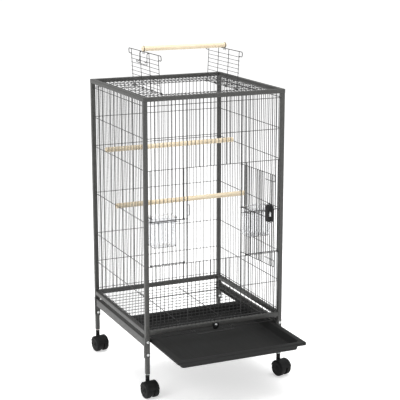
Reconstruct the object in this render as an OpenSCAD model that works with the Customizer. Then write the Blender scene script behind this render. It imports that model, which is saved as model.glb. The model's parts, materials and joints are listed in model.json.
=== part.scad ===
// Play-top bird cage on a wheeled stand. Millimetres, +Z up, the main door and the tray face -Y.
// The origin is on the floor under the middle of the cage. Stored with the main door open, the
// tray pulled out and the two play-top doors standing up with the perch across them.

/* [Cage] */
// outside width and depth over the corner posts
cage_size = 465; // [460:1:470]
// height of the top frame above the floor
top_height = 922; // [915:1:930]
// outside size of the square frame tube
tube_size = 13; // [13:0.1:13.5]
// wall thickness of the frame tube
tube_wall = 1.2; // [1:0.1:1.5]

/* [Wires] */
// diameter of the cage bars and rungs
bar_size = 2; // [1.8:0.1:2]
// diameter of the two posts of the door opening
jamb_size = 3; // [2.8:0.1:3]
// number of upright bars in one full wall
wall_bars = 33; // [33:1:33]
// how deep a bar sinks into the rung it is welded to
weld_depth = 0.25; // [0.2:0.05:0.3]

/* [Levels] */
// height of the lowest rung
rung_lowest = 217; // [215:1:219]
// height of the rung below the door
rung_low = 312; // [308:1:316]
// height of the bottom edge of the door and feeder openings
rung_sill = 408; // [406:1:410]
// height of the top edge of the feeder openings
rung_feeder = 546; // [544:1:548]
// height of the top edge of the door opening
rung_lintel = 703; // [701:1:705]
// height of the rung above the door
rung_high = 799; // [795:1:803]
// height of the highest rung
rung_highest = 895; // [892:1:898]

/* [Main door] */
// how far the door stands open, degrees from closed
door_angle = 94; // [90:1:96]
// distance from the hinge to the last upright bar of the door
door_reach = 172; // [170:1:173]
// distance from the hinge to the tip of the corner loops
loop_reach = 189; // [187:1:190]

/* [Feeders] */
// width of a feeder cup
cup_width = 84; // [78:1:88]
// depth of a feeder cup
cup_depth = 60; // [54:1:66]
// height of a feeder cup
cup_height = 92; // [84:1:96]

/* [Play top] */
// half the width of the roof opening, hinge rod to the middle
roof_half_width = 126; // [124:1:128]
// half the depth of the roof opening
roof_half_depth = 121; // [119:1:123]
// length of a play-top door from its hinge rod
top_door_length = 116; // [114:1:119]
// how far an open play-top door leans outwards, degrees
top_door_lean = 3; // [3:1:4]
// diameter of the play-top perch
top_perch_size = 16; // [14:1:18]
// length of the play-top perch
top_perch_length = 284; // [284:1:290]

/* [Perches] */
// diameter of the two perches inside
perch_size = 16; // [14:1:16]
// height of the upper perch
perch_high = 708; // [704:1:712]
// height of the lower perch
perch_low = 544; // [538:1:548]

/* [Tray] */
// width of the tray over its rim
tray_width = 424; // [418:1:426]
// length of the tray over its rim, front to back
tray_length = 452; // [446:1:452]
// how far the tray is pulled out
tray_pull = 205; // [0:1:210]
// depth of the tray from rim to underside
tray_height = 27; // [24:1:30]

/* [Stand] */
// height of the stand's side rails, lower edge
stand_low = 157; // [155:1:158]
// height of the stand's side rails, upper edge
stand_high = 182; // [181:1:183]

/* [Casters] */
// diameter of a caster wheel
wheel_size = 50; // [48:1:50]
// distance of the axle behind the swivel stem
caster_trail = 15; // [13:1:17]

/* [Output] */
// sub-part to draw, or all of them

/* [Hidden] */

half = cage_size / 2;
inner = half - tube_size;
post_axis = half - tube_size / 2;
frame_under = top_height - tube_size;

// bottom rails of the cage
floor_rail_low = 195;
floor_rail_top = floor_rail_low + tube_size + 1;

// wire layers of a wall, measured inwards from its outer face
bar_r = bar_size / 2;
tie_r = bar_r - 0.1;
jamb_r = jamb_size / 2;
rung_depth = 5.8;
bar_depth = rung_depth + bar_size - weld_depth;
jamb_depth = rung_depth + bar_r + jamb_r;
bar_pitch = 2 * inner / (wall_bars + 1);

// door opening: its two jambs take the place of a bar each
jamb_bar = 10;
jamb_x = inner - jamb_bar * bar_pitch;

// main door, measured from its hinge line with the door closed
ring_in = jamb_r + 0.5;
ring_out = ring_in + 2;
ring_high = 2.4;
door_rung_y = -(ring_in + bar_r + 0.05);
door_bar_y = door_rung_y - bar_size + weld_depth;
door_first = 12;
door_gaps = 13;
door_bar_pitch = (door_reach - door_first) / door_gaps;
door_top = rung_lintel - 5;
door_bottom = rung_sill + 12;
door_middle = 563;
loop_height = 20;
loop_back = 54;

// latch on the main door
latch_low = 552;
latch_high = 606;
latch_from = 150;
latch_to = 170.2;
latch_plate = 4;
latch_margin = 2.5;
latch_back = 2.2;
knob_wide = 11;
knob_high = 18;
knob_thick = 6;
latch_x = -(latch_from + latch_to) / 2;
tongue_in = jamb_r + 0.4;
tongue_thick = 3;
tongue_high = 14;
tongue_tip = 176.5;
tongue_travel = 8;
knob_stem = 5;

// strike wire on the left jamb
strike_gap = 5.4;
strike_low = 555;
strike_high = 590;

// feeders
guide_r = 1.25;
eye_in = guide_r + 0.45;
eye_out = eye_in + 1.4;
eye_high = 4;
guide_depth = rung_depth - bar_r - 0.35 - eye_out;
guide_outer_x = 213.5;
guide_inner_x = 104.5;
feeder_bar_r = 1.5;
feeder_low = rung_sill + 5;
feeder_high = rung_feeder + 2;
feeder_bars = 7;
cup_x = 159.5;
cup_wall = 2;
cup_rail_z = 540;
cup_rail_depth = 12.2;
cup_rail_half = cup_width / 2 + 3.6;
cup_lip = 1.5;
cup_top = 552;
cup_gap = cup_rail_depth + bar_r + 0.7;
cup_hook = 14;

// roof wires
roof_z = top_height - 10;
roof_rung_z = roof_z - bar_size + weld_depth;
roof_side_gaps = 7;
roof_middle_gaps = 20;
roof_rung_y = 170;
roof_side_rung = 72;
rod_r = 1.5;

// play-top doors, measured from the hinge rod with the door closed
top_ring_in = rod_r + 0.5;
top_ring_out = top_ring_in + 2;
top_cross_t = top_ring_in + bar_r + 0.05;
top_fine_t = top_cross_t + bar_size - weld_depth;
top_cross_y = 111;
top_fine_first = 12;
top_fine_pitch = 12.4;
top_fine_count = 8;
top_bar_r = 1.25;
top_loop_y = roof_half_depth + 13;
top_loop_tall = 16;
top_swing = 90 + top_door_lean;

// perch across the play-top doors
top_bar_x = roof_half_width + top_door_length * sin(top_door_lean) + top_cross_t * cos(top_door_lean);
top_bar_z = roof_z + top_door_length * cos(top_door_lean) - top_cross_t * sin(top_door_lean);
top_perch_z = top_bar_z + top_bar_r + 0.8 + top_perch_size / 2;
clip_wall = 1;
clip_wide = 2;
clip_x = top_bar_x + top_bar_r + 0.5 + clip_wide / 2;
clip_leg_y = 5;
clip_leg = 9;

// closing hook, measured from the top bar of the left play-top door
hook_r = 1;
hook_y = 30;
hook_eye_in = top_bar_r + 0.35;
hook_eye_out = hook_eye_in + 1.6;
hook_leg_x = -(hook_eye_out + 0.4);
hook_drop = 39;
hook_arm_y = 62;
hook_tip = 8;
hook_prong_z = -31;
hook_prong = 8;

// stand
leg_low = 71.5;
joint_z = 155;
bracket_low = 122;
bracket_high = 187;
bracket_wall = 1.5;
bracket_base = 2;
bracket_grip = 10;
bolt_upper = 175;
bolt_lower = 134;
bolt_r = 2.5;
bolt_hole_r = 2.65;
bolt_head = 3;
bolt_head_r = 1.7 * bolt_r;
bolt_upper_length = tube_size + 0.5;
bolt_lower_length = tube_size + 6.5;
nut_thick = 4;
nut_r = 4.6;
stand_thick = 12;
runner_wall = 1.2;
runner_low = 166;
runner_reach = 15;
runner_half = 212;
grille_ledge = 178;

// tray and floor grille
tray_rim = 176;
tray_wall = 2;
tray_flange = 18;
tray_lip = 8.5;
tray_front = -half + 2.5 - tray_pull;
grille_r = 1.25;
grille_z = grille_ledge + runner_wall + 0.4 + grille_r;
grille_front = -226;
grille_back = 222;
grille_gaps = 16;
grille_half = 215;
stiffener_x = 72;
handle_half = 62;
handle_out = 16;

// turn latch of the tray
turn_z = 200;
turn_low = 185.5;
turn_half = 10;
turn_pin_r = 2.5;
turn_gap = 0.4;
turn_thick = 4;
turn_tall = 21;

// casters
wheel_r = wheel_size / 2;
wheel_wide = 17.5;
wheel_gap = 5;
wheel_edge = 2.5;
wheel_dish = 3;
wheel_dish_out = 16;
wheel_dish_in = 6.5;
axle_r = 3;
bore_gap = 0.08;
hood_gap = 0.8;
hood_wall = 1.8;
hood_low = 6;
web_half = 4;
stem_r = 4.8;
stem_in_leg = 31;
neck_r = 6.5;
washer_thick = 1.6;
neck_top = leg_low - washer_thick - 0.6;
neck_low = 49.6;
turn_front_left = 188;
turn_front_right = 195;
turn_back_left = 190;
turn_back_right = 200;

metal = [0.27, 0.27, 0.28];
zinc = [0.78, 0.79, 0.8];
wood = [0.9, 0.78, 0.58];
black = [0.06, 0.06, 0.065];
smoke = [0.55, 0.57, 0.6, 0.6];
white = [0.92, 0.92, 0.9];

// straight wire along +Z, an eight-sided bar with flats facing the axes
module wire(length, radius) {
  rotate([0, 0, 22.5]) cylinder(h = length, r = radius / cos(22.5), $fn = 8);
}

module wire_z(x, y, from, to, radius) {
  translate([x, y, from]) wire(to - from, radius);
}

module wire_x(from, to, y, z, radius) {
  translate([from, y, z]) rotate([0, 90, 0]) wire(to - from, radius);
}

module wire_y(x, from, to, z, radius) {
  translate([x, from, z]) rotate([-90, 0, 0]) wire(to - from, radius);
}

// block from its middle in plan and its lower and upper height
module block(x, y, low, high, wide, deep) {
  translate([x - wide / 2, y - deep / 2, low]) cube([wide, deep, high - low]);
}

// round eye with its bore along +Z, standing on the plane z = 0
module eye(inside, outside, high) {
  difference() {
    cylinder(h = high, r = outside);
    translate([0, 0, -1]) cylinder(h = high + 2, r = inside);
  }
}

// square tube along +Z
module tube_z(x, y, low, high) {
  hollow = tube_size - 2 * tube_wall;
  difference() {
    block(x, y, low, high, tube_size, tube_size);
    block(x, y, low - 1, high + 1, hollow, hollow);
  }
}

// turns a wall drawn for the front to another side of the cage
module on_side(angle) {
  rotate([0, 0, angle]) translate([0, -half, 0]) children();
}

// ---- frame ----

module post(side_x, side_y) {
  color(metal) difference() {
    tube_z(side_x * post_axis, side_y * post_axis, joint_z, frame_under);
    bolt_hole(side_x, side_y, bolt_upper);
  }
}

module bolt_hole(side_x, side_y, z) {
  translate([side_x * post_axis, side_y * post_axis, z]) rotate([90, 0, 0])
    cylinder(h = tube_size * 3, r = bolt_hole_r, center = true);
}

module post_front_left() { post(-1, -1); }
module post_front_right() { post(1, -1); }
module post_back_left() { post(-1, 1); }
module post_back_right() { post(1, 1); }

// top rail with mitred ends, drawn along X at the front
module top_rail(angle) {
  bite = tube_size * 2;
  color(metal) on_side(angle) difference() {
    translate([-half, 0, frame_under]) cube([cage_size, tube_size, tube_size]);
    translate([-half - 1, tube_wall, frame_under + tube_wall])
      cube([cage_size + 2, tube_size - 2 * tube_wall, tube_size - 2 * tube_wall]);
    for (side = [-1, 1]) translate([side * half, 0, frame_under - 1]) rotate([0, 0, 45 * side])
      translate([side > 0 ? 0 : -bite, -bite / 2, 0]) cube([bite, bite * 2, tube_size + 2]);
  }
}

module top_rail_front() { top_rail(0); }
module top_rail_back() { top_rail(180); }
module top_rail_left() { top_rail(-90); }
module top_rail_right() { top_rail(90); }

// bottom rail between two posts, drawn along X at the front
module bottom_rail_body(angle) {
  high = floor_rail_top - floor_rail_low;
  on_side(angle) difference() {
    translate([-inner, 0, floor_rail_low]) cube([2 * inner, tube_size, high]);
    translate([-inner - 1, tube_wall, floor_rail_low + tube_wall])
      cube([2 * inner + 2, tube_size - 2 * tube_wall, high - 2 * tube_wall]);
  }
}

// the front rail carries the pin of the turn latch
module bottom_rail_front() {
  pin_out = turn_gap + turn_thick + turn_gap;
  color(metal) {
    bottom_rail_body(0);
    translate([0, -half + 1, turn_z]) rotate([90, 0, 0]) cylinder(h = pin_out + 3, r = turn_pin_r);
    translate([0, -half - pin_out, turn_z]) rotate([90, 0, 0]) cylinder(h = 2, r = turn_pin_r + 2);
  }
}

module bottom_rail_back() { color(metal) bottom_rail_body(180); }
module bottom_rail_left() { color(metal) bottom_rail_body(-90); }
module bottom_rail_right() { color(metal) bottom_rail_body(90); }

// ---- wire walls ----

function bar_x(i) = -inner + i * bar_pitch;

// bars and rungs between two heights; the listed bars are left out
module grid(from, to, low, high, rungs, first, last, skip) {
  for (i = [first : last]) if (len(search(i, skip)) == 0)
    wire_z(bar_x(i), bar_depth, low, high, bar_r);
  for (z = rungs) wire_x(from, to, rung_depth, z, bar_r);
}

module full_wall(angle) {
  rungs = [rung_lowest, rung_low, rung_sill, rung_feeder, rung_lintel, rung_high, rung_highest];
  color(metal) on_side(angle)
    grid(-inner, inner, floor_rail_top, frame_under, rungs, 1, wall_bars, []);
}

module wall_left() { full_wall(-90); }
module wall_right() { full_wall(90); }
module wall_back() { full_wall(180); }

jamb_bars = [jamb_bar, wall_bars + 1 - jamb_bar];

module front_wall_upper() {
  rungs = [rung_lintel, rung_high, rung_highest];
  color(metal) on_side(0)
    grid(-inner, inner, rung_lintel - bar_r, frame_under, rungs, 1, wall_bars, jamb_bars);
}

module front_wall_lower() {
  rungs = [rung_lowest, rung_low, rung_sill];
  color(metal) on_side(0)
    grid(-inner, inner, floor_rail_top, rung_sill + bar_r, rungs, 1, wall_bars, jamb_bars);
}

// wires above one feeder opening, with the rail its cup hangs on
module front_wall_side(side) {
  from = side < 0 ? -inner : jamb_x - jamb_r;
  to = side < 0 ? -jamb_x + jamb_r : inner;
  first = side < 0 ? 1 : wall_bars + 2 - jamb_bar;
  last = side < 0 ? jamb_bar - 1 : wall_bars;
  color(metal) on_side(0) {
    grid(from, to, rung_feeder - bar_r, rung_lintel - bar_r, [rung_feeder], first, last, []);
    cup_rail(side);
  }
}

// wire rail behind the feeder opening, hung from the opening's top rung
module cup_rail(side) {
  for (end = [-1, 1]) {
    x = side * cup_x + end * cup_rail_half;
    wire_z(x, cup_rail_depth, cup_rail_z, rung_feeder + 1, tie_r);
    wire_y(x, rung_depth, cup_rail_depth + bar_r, rung_feeder - 0.5, tie_r - 0.1);
  }
  wire_x(side * cup_x - cup_rail_half - 1.5, side * cup_x + cup_rail_half + 1.5,
    cup_rail_depth, cup_rail_z, bar_r);
}

module front_wall_left() { front_wall_side(-1); }
module front_wall_right() { front_wall_side(1); }

// the two thick uprights of the door opening, with the strike wire on the left one
module door_jambs() {
  color(metal) on_side(0) {
    for (side = [-1, 1])
      wire_z(side * jamb_x, jamb_depth, floor_rail_top, frame_under, jamb_r);
    wire_z(-jamb_x + strike_gap, jamb_depth, strike_low, strike_high, bar_r);
    for (z = [strike_low + bar_r, strike_high - bar_r])
      wire_x(-jamb_x, -jamb_x + strike_gap, jamb_depth, z, tie_r);
  }
}

// rods on which the feeder doors slide, one pair for each feeder
module feeder_guides() {
  color(metal) on_side(0)
    for (x = [-guide_outer_x, -guide_inner_x, guide_inner_x, guide_outer_x]) {
      wire_z(x, guide_depth, rung_sill - guide_r, rung_lintel + guide_r, guide_r);
      for (z = [rung_sill, rung_lintel])
        wire_y(x, guide_depth, rung_depth - bar_r, z, guide_r);
    }
}

// ---- roof ----

function roof_bar_x(i) = i <= roof_side_gaps
  ? -inner + i * (inner - roof_half_width) / roof_side_gaps
  : -roof_half_width + (i - roof_side_gaps) * 2 * roof_half_width / roof_middle_gaps;

// wires in front of the opening or behind it
module roof_end(side) {
  edge = roof_half_depth - bar_r;
  from = side < 0 ? -inner : edge;
  to = side < 0 ? -edge : inner;
  color(metal) {
    for (i = [1 : roof_side_gaps + roof_middle_gaps / 2]) for (mirrored = [-1, 1])
      if (i < roof_side_gaps + roof_middle_gaps / 2 || mirrored < 0)
        wire_y(mirrored * roof_bar_x(i), from, to, roof_z, bar_r);
    for (y = [roof_half_depth, roof_rung_y]) wire_x(-inner, inner, side * y, roof_rung_z, bar_r);
  }
}

module roof_front() { roof_end(-1); }
module roof_back() { roof_end(1); }

// wires beside the opening, with the hinge rod of the play-top door
module roof_side(side) {
  reach = roof_half_depth - bar_r;
  color(metal) {
    for (i = [1 : roof_side_gaps - 1]) wire_y(-side * roof_bar_x(i), -reach, reach, roof_z, bar_r);
    wire_y(side * roof_half_width, -reach, reach, roof_z, rod_r);
    for (y = [-roof_side_rung, 0, roof_side_rung]) {
      from = side < 0 ? -inner : roof_half_width;
      wire_x(from, from + inner - roof_half_width, y, roof_rung_z, bar_r);
    }
  }
}

module roof_left() { roof_side(-1); }
module roof_right() { roof_side(1); }

// ---- stand ----

module leg(side_x, side_y) {
  color(metal) difference() {
    tube_z(side_x * post_axis, side_y * post_axis, leg_low, joint_z);
    bolt_hole(side_x, side_y, bolt_lower);
  }
}

module leg_front_left() { leg(-1, -1); }
module leg_front_right() { leg(1, -1); }
module leg_back_left() { leg(-1, 1); }
module leg_back_right() { leg(1, 1); }

// channel that joins a post to its leg
module bracket(side_x, side_y) {
  base_y = side_y * (inner - bracket_base / 2);
  grip_y = side_y * (inner - bracket_base + (bracket_grip + bracket_base) / 2);
  difference() {
    union() {
      block(side_x * post_axis, base_y, bracket_low, bracket_high,
        tube_size + 2 * bracket_wall, bracket_base);
      for (end = [-1, 1])
        block(side_x * post_axis + end * (tube_size + bracket_wall) / 2, grip_y,
          bracket_low, bracket_high, bracket_wall, bracket_grip + bracket_base);
    }
    bolt_hole(side_x, side_y, bolt_upper);
    bolt_hole(side_x, side_y, bolt_lower);
  }
}

// folded strip with two ledges: the tray rim runs on the lower one, the floor grille on the upper
module runner(side) {
  web_x = side * (half - stand_thick - runner_wall / 2);
  ledge_x = side * (half - stand_thick - runner_reach / 2);
  block(web_x, 0, runner_low, grille_ledge + runner_wall, runner_wall, 2 * runner_half);
  for (z = [runner_low, grille_ledge])
    block(ledge_x, 0, z, z + runner_wall, runner_reach, 2 * runner_half);
}

// side rail of the stand with its two brackets and the tray runner
module stand_side(side) {
  rail_x = side * (half - stand_thick / 2);
  rail_end = inner - bracket_base / 2;
  color(metal) {
    difference() {
      block(rail_x, 0, stand_low, stand_high, stand_thick, 2 * rail_end);
      block(rail_x, 0, stand_low + tube_wall, stand_high - tube_wall,
        stand_thick - 2 * tube_wall, 2 * (rail_end - bracket_base));
    }
    for (side_y = [-1, 1]) bracket(side, side_y);
    runner(side);
  }
}

module stand_side_left() { stand_side(-1); }
module stand_side_right() { stand_side(1); }

// one bolt with a flat head outside, running inwards through tube and bracket
module bolt(side_x, side_y, z, length) {
  translate([side_x * post_axis, side_y * half, z]) rotate([90 * side_y, 0, 0]) {
    cylinder(h = length, r = bolt_r);
    translate([0, 0, -bolt_head]) cylinder(h = bolt_head, r = bolt_head_r);
  }
}

module frame_bolts() {
  color(zinc) for (side_x = [-1, 1]) for (side_y = [-1, 1]) {
    bolt(side_x, side_y, bolt_upper, bolt_upper_length);
    bolt(side_x, side_y, bolt_lower, bolt_lower_length);
  }
}

module frame_nuts() {
  color(zinc) for (side_x = [-1, 1]) for (side_y = [-1, 1])
    translate([side_x * post_axis, side_y * (inner - bracket_base), bolt_lower])
      rotate([90 * side_y, 0, 0]) difference() {
        cylinder(h = nut_thick, r = nut_r, $fn = 6);
        translate([0, 0, -1]) cylinder(h = nut_thick + 2, r = bolt_r + 0.02);
      }
}

module leg_washers() {
  color(white) for (side_x = [-1, 1]) for (side_y = [-1, 1])
    translate([side_x * post_axis, side_y * post_axis, leg_low - washer_thick])
      eye(stem_r + 0.4, tube_size / 2 + 0.8, washer_thick);
}

// ---- perches inside the cage ----

// dowel from side wall to side wall, its slotted ends gripping one bar each
module inside_perch(y, z) {
  reach = half - rung_depth - bar_r - 0.4;
  slot = bar_size + 0.4;
  color(wood) difference() {
    translate([-reach, y, z]) rotate([0, 90, 0]) cylinder(h = 2 * reach, r = perch_size / 2);
    for (side = [-1, 1])
      block(side * (half - bar_depth), y, z - perch_size, z + perch_size, 2 * bar_size, slot);
  }
}

module perch_upper() { inside_perch(-bar_x(8), perch_high); }
module perch_lower() { inside_perch(-bar_x(15), perch_low); }

// ---- main door ----

// places a piece drawn from the hinge line with the door closed
module on_main_door() {
  translate([jamb_x, -half + jamb_depth, 0]) rotate([0, 0, door_angle]) children();
}

// rung with an eye round the hinge jamb at its end
module hinged_rung(z, reach) {
  wire_x(-reach, -1.2, door_rung_y, z, bar_r);
  translate([0, 0, z - ring_high / 2]) eye(ring_in, ring_out, ring_high);
}

// squared wire loop at the free end of the top or bottom rung
module corner_loop(z, other) {
  wire_x(-loop_reach, -loop_reach + loop_back, door_rung_y, other, bar_r);
  wire_z(-loop_reach + bar_r, door_rung_y, min(z, other), max(z, other), tie_r);
}

module main_door() {
  cut_bar_x = -door_first - (door_gaps - 1) * door_bar_pitch;
  color(metal) on_main_door() {
    for (i = [0 : door_gaps]) if (i != door_gaps - 1)
      wire_z(-door_first - i * door_bar_pitch, door_bar_y, door_bottom, door_top, bar_r);
    for (part = [[door_bottom, latch_low], [latch_high, door_top]])
      wire_z(cut_bar_x, door_bar_y, part[0], part[1], bar_r);
    hinged_rung(door_top, loop_reach);
    hinged_rung(door_bottom, loop_reach);
    hinged_rung(door_middle, door_first + (door_gaps - 2) * door_bar_pitch + bar_r);
    corner_loop(door_top, door_top - loop_height);
    corner_loop(door_bottom, door_bottom + loop_height);
    for (z = [latch_low, latch_high])
      wire_x(-door_reach - bar_r, -door_reach + 2 * door_bar_pitch + 1 + bar_r, door_rung_y, z, bar_r);
  }
}

// latch body that fills the small window in the door, with a cover plate outside
module latch_housing() {
  wide = latch_to - latch_from;
  low = latch_low + latch_margin;
  high = latch_high - latch_margin;
  plate_y = door_bar_y - bar_r - latch_plate / 2;
  back = tongue_in + tongue_thick + latch_back;
  mid_z = (low + high) / 2;
  color(black) on_main_door() difference() {
    union() {
      block(latch_x, (plate_y + back) / 2, low, high, wide, back - plate_y);
      block(latch_x - 1, plate_y, low, high, wide + 6, latch_plate);
    }
    translate([-latch_to - 10, tongue_in - 0.4, mid_z - tongue_high / 2 - 0.4])
      cube([wide + 8, tongue_thick + 0.8, tongue_high + 0.8]);
    block(latch_x, plate_y + 4, mid_z - knob_stem / 2 - 0.4, mid_z + knob_stem / 2 + 0.4,
      knob_stem + tongue_travel + 1.6, 14);
  }
}

// sliding tongue with its thumb knob, drawn pulled back
module latch_tongue() {
  mid_z = (latch_low + latch_high) / 2;
  knob_y = door_bar_y - bar_r - latch_plate;
  knob_x = latch_x + tongue_travel / 2;
  color(zinc) on_main_door() {
    translate([-tongue_tip, tongue_in, mid_z - tongue_high / 2])
      cube([tongue_tip - latch_from - 2.6, tongue_thick, tongue_high]);
    block(knob_x, (tongue_in + knob_y) / 2, mid_z - knob_stem / 2, mid_z + knob_stem / 2,
      knob_stem, tongue_in - knob_y + 1);
    block(knob_x, knob_y - knob_thick / 2 - 0.4, mid_z - knob_high / 2, mid_z + knob_high / 2,
      knob_wide, knob_thick);
  }
}

// ---- feeders ----

// wire door that slides up on its two guide rods
module feeder_door(side) {
  span = guide_outer_x - guide_inner_x;
  middle = side * (guide_inner_x + guide_outer_x) / 2;
  reach = span / 2 - eye_in - 0.5;
  color(metal) on_side(0) {
    for (z = [feeder_low, feeder_high]) {
      wire_x(middle - reach, middle + reach, guide_depth, z, feeder_bar_r);
      for (x = [guide_inner_x, guide_outer_x])
        translate([side * x, guide_depth, z - eye_high / 2]) eye(eye_in, eye_out, eye_high);
    }
    for (i = [1 : feeder_bars])
      wire_z(side * (guide_inner_x + i * span / (feeder_bars + 1)), guide_depth,
        feeder_low, feeder_high, bar_r);
  }
}

module feeder_door_left() { feeder_door(-1); }
module feeder_door_right() { feeder_door(1); }

// plan of a cup with cut corners
module cup_plan(wide, deep, corner) {
  x = wide / 2;
  y = deep / 2;
  polygon([[-x + corner, -y], [x - corner, -y], [x, -y + corner], [x, y - corner],
    [x - corner, y], [-x + corner, y], [-x, y - corner], [-x, -y + corner]]);
}

// open cup with two hooks over the rail in front of it
module feeder_cup(side) {
  low = cup_top - cup_height;
  color(smoke) translate([side * cup_x, -half, 0]) {
    translate([0, cup_gap + cup_depth / 2, low]) difference() {
      linear_extrude(height = cup_height) cup_plan(cup_width, cup_depth, 8);
      translate([0, 0, cup_wall]) linear_extrude(height = cup_height)
        cup_plan(cup_width - 2 * cup_wall, cup_depth - 2 * cup_wall, 7);
    }
    for (x = [-cup_width / 4, cup_width / 4]) {
      hook_out = cup_rail_depth - bar_r - 0.5 - cup_lip;
      block(x, (hook_out + cup_gap + 1) / 2, cup_rail_z + bar_r + 0.4, cup_rail_z + bar_r + 2.4,
        cup_hook, cup_gap + 1 - hook_out);
      block(x, hook_out + cup_lip / 2, cup_rail_z - 5, cup_rail_z + bar_r + 2.4, cup_hook, cup_lip);
    }
  }
}

module feeder_cup_left() { feeder_cup(-1); }
module feeder_cup_right() { feeder_cup(1); }

// ---- tray, floor grille and turn latch ----

module tray() {
  basin_wide = tray_width - 2 * tray_flange;
  basin_long = tray_length - 2 * tray_flange;
  low = tray_rim - tray_height;
  color(black) translate([0, tray_front + tray_length / 2, 0]) difference() {
    union() {
      block(0, 0, tray_rim - tray_lip, tray_rim, tray_width, tray_length);
      block(0, 0, low, tray_rim, basin_wide + 2 * tray_wall, basin_long + 2 * tray_wall);
    }
    block(0, 0, low + tray_wall, tray_rim + 1, basin_wide, basin_long);
    difference() {
      block(0, 0, tray_rim - tray_lip - 1, tray_rim - tray_wall,
        tray_width - 2 * tray_wall, tray_length - 2 * tray_wall);
      block(0, 0, tray_rim - tray_lip - 2, tray_rim, basin_wide + 2 * tray_wall,
        basin_long + 2 * tray_wall);
    }
  }
}

module floor_grille() {
  cross_z = grille_z + grille_r + bar_r - weld_depth;
  step = (grille_back - grille_front) / grille_gaps;
  color(metal) {
    for (x = [-grille_half + grille_r, -stiffener_x, stiffener_x, grille_half - grille_r])
      wire_y(x, grille_front - bar_r, grille_back + bar_r, grille_z, grille_r);
    for (i = [0 : grille_gaps])
      wire_x(-grille_half, grille_half, grille_front + i * step, cross_z, bar_r);
    for (x = [-handle_half, handle_half])
      wire_y(x, grille_front - handle_out, grille_front + step + bar_r, grille_z, grille_r);
    wire_x(-handle_half - grille_r, handle_half + grille_r, grille_front - handle_out, grille_z,
      grille_r);
  }
}

// rounded tongue that swings on a pin in the front rail
module tray_latch() {
  tip_z = turn_low + turn_half;
  color(black) translate([0, -half - turn_gap, 0]) rotate([90, 0, 0]) difference() {
    union() {
      translate([0, tip_z, 0]) cylinder(h = turn_thick, r = turn_half);
      translate([-turn_half + 0.5, tip_z + 0.5, 0])
        cube([2 * turn_half - 1, turn_tall - turn_half - 0.5, turn_thick]);
    }
    translate([0, turn_z, -1]) cylinder(h = turn_thick + 2, r = turn_pin_r + 0.3);
  }
}

// ---- play top ----

// places a piece drawn for the left play-top door when closed, hinge rod on the Y axis
module on_top_door(side) {
  translate([side * roof_half_width, 0, roof_z]) rotate([0, 0, side > 0 ? 180 : 0])
    rotate([0, -top_swing, 0]) children();
}

module top_door(side) {
  loop_x = top_door_length - top_loop_tall;
  color(metal) on_top_door(side) {
    for (y = [-top_cross_y, -top_cross_y / 3, top_cross_y / 3, top_cross_y]) {
      wire_x(1.2, top_door_length, y, top_cross_t, bar_r);
      translate([0, y - ring_high / 2, 0]) rotate([-90, 0, 0])
        eye(top_ring_in, top_ring_out, ring_high);
    }
    for (i = [0 : top_fine_count - 1])
      wire_y(top_fine_first + i * top_fine_pitch, -top_cross_y - 2, top_cross_y + 2, top_fine_t, bar_r);
    wire_y(top_door_length, -top_loop_y, top_loop_y, top_cross_t, top_bar_r);
    for (end = [-1, 1]) {
      wire_x(loop_x, top_door_length, end * (top_loop_y - bar_r), top_cross_t, tie_r);
      wire_y(loop_x + bar_r, end > 0 ? top_cross_y : -top_loop_y,
        end > 0 ? top_loop_y : -top_cross_y, top_cross_t, bar_r);
    }
  }
}

module top_door_left() { top_door(-1); }
module top_door_right() { top_door(1); }

module top_perch() {
  color(wood) translate([-top_perch_length / 2, 0, top_perch_z]) rotate([0, 90, 0])
    cylinder(h = top_perch_length, r = top_perch_size / 2);
}

// band round each end of the perch with a leg outside the door's top wire
module perch_clips() {
  perch_r = top_perch_size / 2;
  color(metal) for (side = [-1, 1]) {
    translate([side * clip_x - clip_wide / 2, 0, top_perch_z]) rotate([0, 90, 0])
      eye(perch_r + 0.05, perch_r + clip_wall, clip_wide);
    for (y = [-clip_leg_y, clip_leg_y])
      block(side * clip_x, y, top_perch_z - perch_r - clip_leg, top_perch_z - perch_r + 1, clip_wide, 2);
  }
}

// wire hook that hangs from the top bar of the left door, used to hold the closed doors together
module closing_hook() {
  color(metal) translate([-top_bar_x, 0, top_bar_z]) {
    for (y = [-hook_y, hook_y]) {
      translate([0, y - ring_high / 2, 0]) rotate([-90, 0, 0])
        eye(hook_eye_in, hook_eye_out, ring_high);
      wire_z(hook_leg_x, y, -hook_drop, 0.6, hook_r);
      wire_x(hook_leg_x - hook_prong, hook_leg_x, y, hook_prong_z, hook_r - 0.1);
    }
    wire_y(hook_leg_x, -hook_y - 1.6, hook_arm_y, -hook_drop + hook_r, hook_r - 0.1);
    wire_z(hook_leg_x, hook_arm_y - 1, -hook_drop + hook_r, -hook_drop + hook_tip, hook_r - 0.2);
  }
}

// ---- casters ----

// places a piece drawn round the swivel stem, axle along X and behind the stem
module on_caster(side_x, side_y, turn) {
  translate([side_x * post_axis, side_y * post_axis, 0]) rotate([0, 0, turn]) children();
}

// cylinder along X at the axle, from one x to another
module axle_cylinder(from, to, radius) {
  translate([from, caster_trail, wheel_r]) rotate([0, 90, 0]) cylinder(h = to - from, r = radius);
}

module caster_body() {
  reach = wheel_gap + wheel_wide;
  hood_r = wheel_r + hood_gap + hood_wall;
  hood_half = reach - wheel_edge;
  color(black) {
    stem();
    difference() {
      axle_cylinder(-hood_half, hood_half, hood_r);
      axle_cylinder(web_half, reach + 1, wheel_r + hood_gap);
      axle_cylinder(-reach - 1, -web_half, wheel_r + hood_gap);
      translate([-reach - 1, caster_trail - hood_r - 1, -hood_r])
        cube([2 * reach + 2, 2 * hood_r + 2, hood_r + wheel_r + hood_low]);
    }
    axle_cylinder(-web_half, web_half, wheel_r - 4);
    axle_cylinder(-reach + 2, reach - 2, axle_r);
  }
}

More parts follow.
